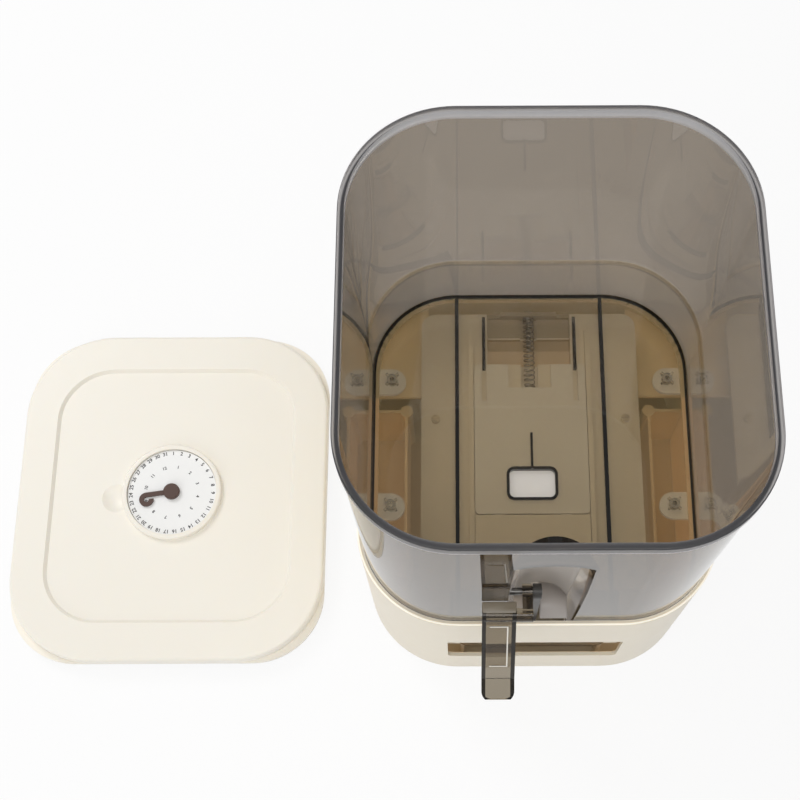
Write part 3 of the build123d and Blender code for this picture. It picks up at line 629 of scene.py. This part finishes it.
def build_well_group(well):
    """Painted shade of the deck by place: darker in the well behind the gate, with a pale line on its step
    that is a painted highlight.
    """
    group, given, out = new_group(
        "Well shade", {"Colour": (0.8, 0.8, 0.8), "Warm": WHITE, "Dark": WHITE, "Deep": WHITE},
        {"Colour": COLOUR})
    x, y, _ = axes(object_place(group))
    shade = WHITE
    for start, tone in ((well.front, given["Warm"]), (well.fold, given["Dark"]), (well.step, WHITE),
                        (well.step + well.line, given["Deep"])):
        shade = mixed(y > start, shade, tone)
    shade = mixed(abs(x) < well.half_width, WHITE, shade)
    feed(tinted(given["Colour"], shade), out["Colour"])
    return group


# Materials

def new_material(name):
    """Material with a Principled shader on its output; returns material, tree and shader."""
    material = bpy.data.materials.new(name)
    material.use_nodes = True
    return material, material.node_tree, material.node_tree.nodes["Principled BSDF"]


def set_plain(shader, **values):
    """Plain values on a node's own inputs."""
    for key, value in values.items():
        shader.inputs[key.replace("_", " ")].default_value = value


def surface(look, shader):
    """Colour and roughness of a look on a shader."""
    feed(look.outputs["Colour"], shader.inputs["Base Color"])
    feed(look.outputs["Roughness"], shader.inputs["Roughness"])


def bump_from(tree, height, shader, strength, distance):
    """Bump on the shader's normal."""
    bump = tree.nodes.new("ShaderNodeBump")
    set_plain(bump, Strength=strength, Distance=distance)
    feed(height, bump.inputs["Height"])
    feed(bump.outputs["Normal"], shader.inputs["Normal"])


def mix_shaders(tree, factor, first, second):
    """Two shaders mixed on the material's surface."""
    mix = tree.nodes.new("ShaderNodeMixShader")
    feed_all((factor, first.outputs[0], second.outputs[0]), mix.inputs)
    feed(mix.outputs[0], tree.nodes["Material Output"].inputs["Surface"])


def moulded(name, colour, roughness=0.34, tone=0.06, grain=1100.0, depth=0.5, glow=0.0):
    """Opaque moulded plastic."""
    material, tree, shader = new_material(name)
    look = placed(tree, shared_group("Moulded plastic", build_moulded_group), colour=colour, tone=tone,
                  roughness=roughness, grain_scale=grain, grain_depth=depth)
    surface(look, shader)
    bump_from(tree, look.outputs["Height"], shader, strength=0.25, distance=0.06 * MM)
    set_plain(shader, IOR=MOULDED_IOR, Subsurface_Weight=glow, Subsurface_Radius=GLOW_REACH,
              Subsurface_Scale=1.0)
    return material


def printed(name, colour):
    """Printed ink, without a bump."""
    material, tree, shader = new_material(name)
    surface(placed(tree, shared_group("Moulded plastic", build_moulded_group), colour=colour, tone=0.2,
                   roughness=0.45, grain_scale=2500.0, grain_depth=0.4), shader)
    return material


def clear_plastic(name, plastic, tint=None, by_place=None, **colours):
    """Smoky clear plastic that lets lamps through, with smoke in its depth."""
    material, tree, shader = new_material(name)
    look = placed(tree, shared_group("Clear plastic haze", build_haze_group), roughness=0.015)
    if by_place:
        for socket in placed(tree, by_place, **colours).outputs:
            target = look if socket.name in look.inputs else shader
            feed(socket, target.inputs[socket.name])
    else:
        feed(tint, look.inputs["Tint"])
    feed(look.outputs["Tint"], shader.inputs["Base Color"])
    feed(look.outputs["Roughness"], shader.inputs["Roughness"])
    set_plain(shader, IOR=CLEAR_IOR, Transmission_Weight=1.0, Specular_Tint=(*plastic.sheen, 1.0),
              Emission_Strength=float(shader.inputs["Emission Color"].is_linked))
    through = tree.nodes.new("ShaderNodeBsdfTransparent")
    set_plain(through, Color=(*plastic.smoke_shadow, 1.0))
    path = tree.nodes.new("ShaderNodeLightPath")
    mix_shaders(tree, path.outputs["Is Shadow Ray"], shader, through)
    smoke = tree.nodes.new("ShaderNodeVolumeAbsorption")
    set_plain(smoke, Color=(*plastic.smoke_depth, 1.0), Density=plastic.smoke_density)
    feed(smoke.outputs[0], tree.nodes["Material Output"].inputs["Volume"])
    return material


def steel(name, colour, roughness, lines=1400.0):
    """Steel, bright or dull."""
    material, tree, shader = new_material(name)
    look = placed(tree, shared_group("Bright steel", build_metal_group), colour=colour,
                  roughness=roughness, line_scale=lines)
    surface(look, shader)
    set_plain(shader, Metallic=1.0)
    bump_from(tree, look.outputs["Height"], shader, strength=0.15, distance=0.02 * MM)
    return material


# Pieces

def dress(name, material):
    """One material on a CAD node."""
    slots = NODES[name].data.materials
    slots.clear()
    slots.append(material)


def put_in_scene(name, data):
    """Object that holds the data, linked into the scene."""
    holder = bpy.data.objects.new(name, data)
    bpy.context.scene.collection.objects.link(holder)
    return holder


def mesh_of(bm, name):
    """Mesh made from a bmesh, which is freed."""
    mesh = bpy.data.meshes.new(name)
    bm.to_mesh(mesh)
    bm.free()
    return mesh


def new_piece(name, mesh, body, material):
    """Blender-made piece that rides on a body."""
    piece = put_in_scene(name, mesh)
    mesh.materials.clear()
    mesh.materials.append(material)
    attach(piece, body)
    return piece


# Operators

class RICE_OT_hopper(bpy.types.Operator):
    """Dress the clear hopper"""

    bl_idname = "rice.hopper"
    bl_label = "Hopper"

    def execute(self, context):
        plastic = context.scene.rice_plastic
        low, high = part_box("hopper")
        by_place = build_hopper_group(
            context.scene.rice_hopper, base_top=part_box("base_shell")[1].z, front=low.y, rim_top=high.z,
            gate_half=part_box("gate_slide")[1].x)
        dress("hopper", clear_plastic(
            "hopper_clear", plastic, by_place=by_place, floor=plastic.smoke_floor,
            low_wall=plastic.smoke_low, wall=plastic.smoke_wall, rim=plastic.smoke_rim,
            recess=plastic.smoke_recess, edge=plastic.smoke_edge, recess_glow=plastic.recess_glow,
            rim_glow=plastic.rim_glow))
        return {"FINISHED"}


class RICE_OT_recess(bpy.types.Operator):
    """Lay a grey sheet into the round recess, as a painted reflection of the bright floor"""

    bl_idname = "rice.recess"
    bl_label = "Recess face"

    def execute(self, context):
        recess = context.scene.rice_recess
        rim_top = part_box("hopper")[1].z
        steps = [2 * column / recess.columns - 1 for column in range(recess.columns + 1)]
        height = recess.face_high - recess.face_low
        levels = [recess.face_low + height * row / recess.rows for row in range(recess.rows + 1)]
        face = [[self.on_wall(recess, rim_top, recess.face_half * step, z) for step in steps] for z in levels]
        # The grey face and its sill are painted reflection, standing in for the bright floor that the recess
        # mirrors.
        satin = moulded("recess_satin", recess.grey, roughness=0.35, tone=0.02)
        set_plain(satin.node_tree.nodes["Principled BSDF"], Alpha=recess.cover)
        self.sheets("recess_reflection_sheet", [face], recess.face_thickness, satin)
        halves = []
        for left, right in ((-recess.face_half, recess.slot_left), (recess.slot_right, recess.face_half)):
            across = [left + (right - left) * (step + 1) / 2 for step in steps]
            back = [self.on_wall(recess, rim_top, x, recess.face_low) for x in across]
            front = self.wall_at(recess, rim_top, recess.face_low) + recess.face_gap
            halves.append([[(x, front, recess.face_low) for x in across], back])
        self.sheets("sill_reflection_sheet", halves, recess.face_thickness,
                    moulded("sill_painted_reflection", recess.sill_grey, roughness=0.35, tone=0.02))
        return {"FINISHED"}

    @staticmethod
    def wall_at(recess, rim_top, z):
        """Place of the hopper's front wall at a level."""
        return recess.wall_front + (rim_top - z) * recess.wall_lean

    def on_wall(self, recess, rim_top, x, z):
        """Point close in front of the recess's round wall."""
        share = (z - recess.foot_level) / (recess.top_level - recess.foot_level)
        radius = recess.foot_radius + share * (recess.top_radius - recess.foot_radius)
        depth = recess.foot_depth + share * (recess.top_depth - recess.foot_depth)
        middle = self.wall_at(recess, rim_top, z) + depth - radius
        return x, middle + math.sqrt((radius - recess.face_gap) ** 2 - x ** 2), z

    @staticmethod
    def sheets(name, grids, thickness, material):
        """Thin sheets through rows of points, as one piece on the bin."""
        bm = bmesh.new()
        for grid in grids:
            lines = [[bm.verts.new(point) for point in row] for row in grid]
            for low, high in zip(lines, lines[1:]):
                for i in range(len(low) - 1):
                    bm.faces.new((low[i], low[i + 1], high[i + 1], high[i]))
        bm.normal_update()
        bmesh.ops.solidify(bm, geom=bm.faces[:], thickness=thickness)
        bmesh.ops.recalc_face_normals(bm, faces=bm.faces)
        for face in bm.faces:
            face.smooth = True
        new_piece(name, mesh_of(bm, name), "bin", material)


class RICE_OT_base(bpy.types.Operator):
    """Dress the base and its bottom cover"""

    bl_idname = "rice.base"
    bl_label = "Base"

    def execute(self, context):
        plastic = context.scene.rice_plastic
        cream = moulded("base_cream", plastic.cream_base, roughness=0.33, glow=0.12)
        self.warm_inside(cream, plastic.cream_inside, context.scene.rice_base, context.scene.rice_hopper)
        dress("base_shell", cream)
        dress("bottom_cover", moulded(
            "cover_cream", plastic.cream_base, roughness=0.45, grain=700.0, depth=0.9))
        return {"FINISHED"}

    @staticmethod
    def warm_inside(material, warm, base, hopper):
        """Give the faces inside the base the warm tone of light that shines through its thin wall."""
        tree = material.node_tree
        shader = tree.nodes["Principled BSDF"]
        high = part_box("base_shell")[1]
        distance = outline_distance(tree, high.x, high.y, hopper.corner + high.x - hopper.half_width)
        _, y, z = axes(object_place(tree))
        tab_foot = hopper.floor_level - base.tab_drop
        ledge_foot = hopper.floor_level - hopper.floor_thickness - base.ledge_drop

        inside = distance < -base.wall
        beside = inside & (z > hopper.floor_level)
        below = inside & (z < hopper.floor_level)
        ledge = below & (z > ledge_foot)
        deep = (inside & (z < tab_foot)) | ledge
        corners = below & (y > base.corner_front)
        tabs = (below - ledge) & (z > tab_foot)
        edge = (z > high.z - base.edge_height) & (distance > -base.edge_width)

        plain = shader.inputs["Base Color"].links[0].from_socket
        feed(mixed(deep, plain, warm), shader.inputs["Base Color"])
        light = BLACK
        for mask, glow in ((below, base.inside_share * warm), (corners, base.corner_glow),
                           (tabs, base.tab_share * base.wall_glow),
                           (beside, base.side_share * base.wall_glow), (edge, base.edge_glow)):
            light = mixed(mask, light, glow)
        feed(light, shader.inputs["Emission Color"])
        set_plain(shader, Emission_Strength=base.strength)


class RICE_OT_mechanism(bpy.types.Operator):
    """Dress the gate, its deck, the tray housing and the screws"""

    bl_idname = "rice.mechanism"
    bl_label = "Gate mechanism"

    def execute(self, context):
        plastic = context.scene.rice_plastic
        inner = moulded("inner_cream", plastic.cream_inner, roughness=0.46, grain=800.0, tone=0.10,
                        depth=0.8, glow=0.1)
        dress("tray_housing", inner)
        dress("mechanism_deck", self.shaded_deck(inner, context.scene.rice_well))
        dress("gate_slide", moulded("gate_cream", plastic.cream_gate, roughness=0.40, grain=950.0, glow=0.1))
        bright = steel("screw_steel", plastic.steel_bright, roughness=0.16)
        dress("hopper_screws", bright)
        dress("cover_screws", bright)
        dress("deck_screws", steel("screw_dull", plastic.steel_deck, roughness=0.5))
        dress("spring_guide_pin", steel("guide_dull", plastic.steel_guide, roughness=0.5))
        dress("lever_pin", steel("pin_blackened", plastic.steel_pin, roughness=0.35))
        return {"FINISHED"}

    @staticmethod
    def shaded_deck(plain, well):
        """The deck's plastic: the inner plastic with the well's shade on it."""
        material = plain.copy()
        material.name = "deck_cream"
        tree = material.node_tree
        target = tree.nodes["Principled BSDF"].inputs["Base Color"]
        shade = placed(tree, build_well_group(well), colour=target.links[0].from_socket,
                       warm=well.warm, dark=well.dark, deep=well.deep)
        feed(shade.outputs["Colour"], target)
        return material


class RICE_OT_spring(bpy.types.Operator):
    """Wind the gate spring from round wire, with closed ends"""

    bl_idname = "rice.spring"
    bl_label = "Gate spring"

    def execute(self, context):
        spring = context.scene.rice_spring
        low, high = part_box("gate_spring")
        wire = steel("spring_wire", context.scene.rice_plastic.steel_spring, roughness=0.20, lines=2600.0)
        piece = new_piece("gate_spring_wire", self.wound(spring, low, high), "bin", wire)
        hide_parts("gate_spring")
        travel = next(j for j in frame["joints"] if j["name"] == "gate_travel")["range_m"][1]
        length = high.y - low.y
        (length - travel) / length
        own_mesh(piece)
        return {"FINISHED"}

    @staticmethod
    def wound(spring, low, high):
        """Mesh of the wire, wound along y inside a box."""
        radius = (high.x - low.x - spring.wire) / 2
        front, back = low.y + spring.wire / 2, high.y - spring.wire / 2
        ends = spring.end_turns
        total = spring.turns + 2 * ends
        closed = spring.wire * spring.end_pitch
        pitch = (back - front - 2 * ends * closed) / spring.turns
        rise = pitch / (2 * math.pi * radius)

        def along(turn):
            if turn < ends:
                return front + turn * closed
            if turn > total - ends:
                return back - (total - turn) * closed
            return front + ends * closed + (turn - ends) * pitch

        steps = int(total * spring.steps)
        bm = bmesh.new()
        rings = []
        for step in range(steps + 1):
            turn = total * step / steps
            angle = 2 * math.pi * turn
            out = Vector((math.cos(angle), 0, math.sin(angle)))
            point = Vector(((low.x + high.x) / 2, along(turn), (low.z + high.z) / 2)) + out * radius
            tangent = Vector((-math.sin(angle), rise, math.cos(angle))).normalized()
            side = tangent.cross(out).normalized()
            ring = []
            for corner in range(spring.sides):
                a = 2 * math.pi * corner / spring.sides
                ring.append(bm.verts.new(point + (out * math.cos(a) + side * math.sin(a)) * spring.wire / 2))
            rings.append(ring)
        for one, two in zip(rings, rings[1:]):
            for i in range(spring.sides):
                j = (i + 1) % spring.sides
                bm.faces.new((one[i], one[j], two[j], two[i]))
        bm.faces.new(reversed(rings[0]))
        bm.faces.new(rings[-1])
        bmesh.ops.recalc_face_normals(bm, faces=bm.faces)
        for face in bm.faces:
            face.smooth = len(face.verts) == 4
        return mesh_of(bm, "gate_spring_wire")


class RICE_OT_lever(bpy.types.Operator):
    """Dress the press lever and the rocker arm"""

    bl_idname = "rice.lever"
    bl_label = "Lever"

    def execute(self, context):
        plastic, lever = context.scene.rice_plastic, context.scene.rice_lever
        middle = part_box("lever_handle")[0].x + lever.half_width
        # The lever's dark upright edges are painted shade.
        dress("lever_handle", clear_plastic(
            "lever_clear", plastic, by_place=build_lever_group(lever, middle), face=plastic.smoke_lever,
            edge=plastic.smoke_cheek))
        crest = moulded("crest_smoke", plastic.crest_smoke, roughness=0.2, grain=1500.0)
        new_piece("lever_crest", self.crest(lever, middle), "lever", crest)
        # The pale line on the raised frame is a painted highlight of the light that the frame catches.
        pale = moulded("mark_pale", plastic.mark_pale, roughness=0.3, grain=1500.0)
        new_piece("lever_highlight", self.mark(lever, middle), "lever", pale)
        dress("rocker_arm", moulded("arm_dark", plastic.rocker_dark, roughness=0.42, grain=900.0))
        return {"FINISHED"}

    @staticmethod
    def crest(lever, middle):
        """Flat crest that runs from the lever's top back to the hopper's wall."""
        bm = bmesh.new()
        top = lever.root_z + lever.crest_rise
        low = Vector((middle - lever.half_width, lever.root_y, top - lever.wall))
        high = Vector((middle + lever.half_width, lever.crest_back, top))
        bmesh.ops.create_cube(bm, size=1.0)
        for vert in bm.verts:
            vert.co = (low + high) / 2 + vert.co * (high - low)
        bmesh.ops.bevel(bm, geom=bm.edges[:], offset=lever.wall / 4, segments=3, affect="EDGES", profile=0.5)
        for face in bm.faces:
            face.smooth = True
        return mesh_of(bm, "lever_crest")

    @staticmethod
    def mark(lever, middle):
        """Pale line over the raised frame of the lever's face: a painted highlight, standing in for the light
        that the frame catches.
        """
        along = Vector((0, -math.cos(lever.slope), -math.sin(lever.slope)))
        out = Vector((0, -math.sin(lever.slope), math.cos(lever.slope)))
        root = Vector((middle, lever.root_y, lever.root_z))
        half, line = lever.mark_half, lever.mark_line
        first, last = lever.mark_start, lever.mark_start + lever.mark_length
        bars = ((-half, half, first, first + line), (-half, half, last - line, last),
                (half - line, half, first + line, last - line))
        bm = bmesh.new()
        for x0, x1, u0, u1 in bars:
            corners = []
            for lift in (lever.mark_lift, lever.mark_rise * lever.mark_lift):
                for x, u in ((x0, u0), (x1, u0), (x1, u1), (x0, u1)):
                    corners.append(bm.verts.new(root + Vector((x, 0, 0)) + along * u + out * lift))
            bm.faces.new(corners[:4])
            bm.faces.new(corners[4:])
            for i in range(4):
                j = (i + 1) % 4
                bm.faces.new((corners[i], corners[j], corners[j + 4], corners[i + 4]))
        bmesh.ops.recalc_face_normals(bm, faces=bm.faces)
        return mesh_of(bm, "lever_highlight")


class RICE_OT_tray(bpy.types.Operator):
    """Dress the dispensing tray"""

    bl_idname = "rice.tray"
    bl_label = "Tray"

    def execute(self, context):
        plastic = context.scene.rice_plastic
        dress("dispensing_tray", clear_plastic("tray_clear", plastic, plastic.smoke_tray))
        return {"FINISHED"}


class RICE_OT_lid(bpy.types.Operator):
    """Dress the lid, its seal and the dial cup"""

    bl_idname = "rice.lid"
    bl_label = "Lid"

    def execute(self, context):
        plastic = context.scene.rice_plastic
        dress("lid_shell", moulded("lid_cream", plastic.cream_lid, roughness=0.40, tone=0.03, glow=0.12))
        dress("dial_cup", moulded("cup_cream", plastic.cream_lid, roughness=0.30, tone=0.03, glow=0.12))
        dress("lid_seal", moulded("seal_soft", plastic.seal_soft, roughness=0.62, grain=600.0, depth=0.4))
        return {"FINISHED"}


class RICE_OT_dial(bpy.types.Operator):
    """Dress the date disc and print its days and months"""

    bl_idname = "rice.dial"
    bl_label = "Date dial"

    def execute(self, context):
        plastic, dial = context.scene.rice_plastic, context.scene.rice_dial
        dress("date_disc", moulded("disc_white", plastic.disc_white, roughness=0.38, tone=0.02, grain=1500.0))
        ink = printed("printed_ink", plastic.ink)
        low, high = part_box("date_disc")
        middle = (low + high) / 2
        middle.z = high.z + dial.ink_thickness / 2
        rings = (("dial_days", 31, dial.day_radius, dial.day_height, dial.first_day),
                 ("dial_months", 12, dial.month_radius, dial.month_height, dial.first_month))
        for name, count, radius, height, first in rings:
            joined = bmesh.new()
            for figure in range(1, count + 1):
                angle = first - 2 * math.pi * (figure - 1) / count
                spot = middle + Vector((math.cos(angle), math.sin(angle), 0)) * radius
                self.add_figure(joined, dial, str(figure), height, spot, angle)
            new_piece(name, mesh_of(joined, name), "dial", ink)
        return {"FINISHED"}

    @staticmethod
    def add_figure(joined, dial, body, height, spot, angle):
        """Add one number to a ring, with its foot towards the disc's middle."""
        text = bpy.data.curves.new("figure", "FONT")
        text.body = body
        text.size = height * dial.type_size
        text.align_x = "CENTER"
        text.align_y = "CENTER"
        text.resolution_u = dial.type_steps
        text.offset = dial.weight
        text.extrude = dial.ink_thickness / 2
        holder = put_in_scene("figure", text)
        bpy.context.view_layer.update()
        flat = bpy.data.meshes.new_from_object(holder.evaluated_get(bpy.context.evaluated_depsgraph_get()))
        flat.transform(Matrix.Translation(spot) @ Matrix.Rotation(angle - math.pi / 2, 4, "Z"))
        joined.from_mesh(flat)
        bpy.data.objects.remove(holder)
        bpy.data.curves.remove(text)
        bpy.data.meshes.remove(flat)


class RICE_OT_pointer(bpy.types.Operator):
    """Dress the hooked pointer"""

    bl_idname = "rice.pointer"
    bl_label = "Pointer"

    def execute(self, context):
        brown = context.scene.rice_plastic.pointer_brown
        dress("hook_pointer", moulded(
            "pointer_brown", brown, roughness=0.44, tone=0.3, grain=1300.0, depth=0.9))
        return {"FINISHED"}


class RICE_OT_stage(bpy.types.Operator):
    """Set the floor, the lamps, the world and the camera"""

    bl_idname = "rice.stage"
    bl_label = "Stage"

    def execute(self, context):
        stage = context.scene.rice_stage
        self.floor(stage)
        self.lamp("top_lamp", stage.top_place, stage.top_aim, stage.top_size, stage.top_power)
        self.lamp("key_lamp", stage.key_place, stage.key_aim, stage.key_size, stage.key_power)
        self.lamp("fill_lamp", stage.fill_place, stage.fill_aim, stage.fill_size, stage.fill_power)
        self.world(stage)
        self.camera(stage)
        context.scene.view_settings.view_transform = "Standard"
        return {"FINISHED"}

    @staticmethod
    def floor(stage):
        """Wide pale floor that looks white to the camera and still takes shadows."""
        bm = bmesh.new()
        bmesh.ops.create_grid(bm, x_segments=2, y_segments=2, size=stage.floor_half)
        mesh = mesh_of(bm, "floor")
        material, tree, shader = new_material("floor_white")
        set_plain(shader, Base_Color=(*stage.floor_colour, 1.0), Roughness=0.9, Specular_IOR_Level=0.1)
        path = fields(tree.nodes.new("ShaderNodeLightPath").outputs)
        seen = path["Is Glossy Ray"] | path["Is Transmission Ray"] | path["Is Camera Ray"]
        white = tree.nodes.new("ShaderNodeEmission")
        set_plain(white, Color=(*WHITE, 1), Strength=1.0)
        mix_shaders(tree, seen * stage.floor_white, shader, white)
        mesh.materials.append(material)
        put_in_scene("floor", mesh)

    @staticmethod
    def lamp(name, place, aim, size, power):
        """Soft square lamp that points at an aim."""
        light = bpy.data.lights.new(name, "AREA")
        light.size = size
        light.energy = power
        holder = put_in_scene(name, light)
        holder.location = place
        holder.rotation_euler = (Vector(aim) - Vector(place)).to_track_quat("-Z", "Y").to_euler()

    @staticmethod
    def world(stage):
        """Even white surroundings."""
        world = bpy.data.worlds.new("studio")
        world.use_nodes = True
        tree = world.node_tree
        backdrop = tree.nodes["Background"]
        set_plain(backdrop, Color=(*WHITE, 1))
        path = fields(tree.nodes.new("ShaderNodeLightPath").outputs)
        seen = path["Is Camera Ray"] | path["Is Transmission Ray"]
        feed(remap(seen, 0.0, 1.0, stage.world_light, 1.0), backdrop.inputs["Strength"])
        bpy.context.scene.world = world

    @staticmethod
    def camera(stage):
        """Camera of the photograph, with its off-centre frame."""
        lens = bpy.data.cameras.new("camera")
        lens.sensor_width = FILM_WIDTH
        lens.lens = stage.focal / IMAGE_SIDE * lens.sensor_width
        lens.shift_x = (IMAGE_SIDE / 2 - stage.centre_x) / IMAGE_SIDE
        lens.shift_y = (stage.centre_y - IMAGE_SIDE / 2) / IMAGE_SIDE
        lens.clip_start = NEAR
        lens.clip_end = FAR
        holder = put_in_scene("camera", lens)
        look = Vector((math.sin(stage.yaw) * math.cos(stage.pitch),
                       math.cos(stage.yaw) * math.cos(stage.pitch), -math.sin(stage.pitch)))
        right = Vector((math.cos(stage.yaw), -math.sin(stage.yaw), 0))
        up = right.cross(look)
        tilted_right = right * math.cos(stage.roll) + up * math.sin(stage.roll)
        tilted_up = up * math.cos(stage.roll) - right * math.sin(stage.roll)
        turn = Matrix((tilted_right, tilted_up, -look)).transposed()
        holder.matrix_world = Matrix.Translation(stage.camera_place) @ turn.to_4x4()
        bpy.context.scene.camera = holder


class RICE_PT_panel(bpy.types.Panel):
    """Buttons and settings of the rice dispenser"""

    bl_idname = "RICE_PT_panel"
    bl_label = "Rice dispenser"
    bl_space_type = "VIEW_3D"
    bl_region_type = "UI"
    bl_category = "Rice dispenser"

    def draw(self, context):
        column = self.layout.column()
        for group in GROUPS:
            values = getattr(context.scene, group)
            for name in values.__annotations__:
                column.prop(values, name)
        for operator in OPERATORS:
            column.operator(operator.bl_idname)


GROUPS = {
    "rice_plastic": PlasticSettings, "rice_hopper": HopperSettings, "rice_base": BaseSettings,
    "rice_well": WellSettings, "rice_recess": RecessSettings, "rice_lever": LeverSettings,
    "rice_dial": DialSettings, "rice_spring": SpringSettings, "rice_stage": StageSettings,
}
OPERATORS = (
    RICE_OT_hopper, RICE_OT_recess, RICE_OT_base, RICE_OT_mechanism, RICE_OT_spring, RICE_OT_lever,
    RICE_OT_tray, RICE_OT_lid, RICE_OT_dial, RICE_OT_pointer, RICE_OT_stage,
)


def register():
    """Register the classes and put the settings on the scene."""
    for name, group in GROUPS.items():
        bpy.utils.register_class(group)
        setattr(bpy.types.Scene, name, PointerProperty(type=group))
    for operator in OPERATORS:
        bpy.utils.register_class(operator)
    bpy.utils.register_class(RICE_PT_panel)


def unregister():
    """Take the classes and settings off again."""
    bpy.utils.unregister_class(RICE_PT_panel)
    for operator in reversed(OPERATORS):
        bpy.utils.unregister_class(operator)
    for name, group in reversed(GROUPS.items()):
        delattr(bpy.types.Scene, name)
        bpy.utils.unregister_class(group)


def main():
    """Build every piece in order."""
    register()
    for operator in OPERATORS:
        section, name = operator.bl_idname.split(".")
        getattr(getattr(bpy.ops, section), name)()


if __name__ == "__main__":
    main()
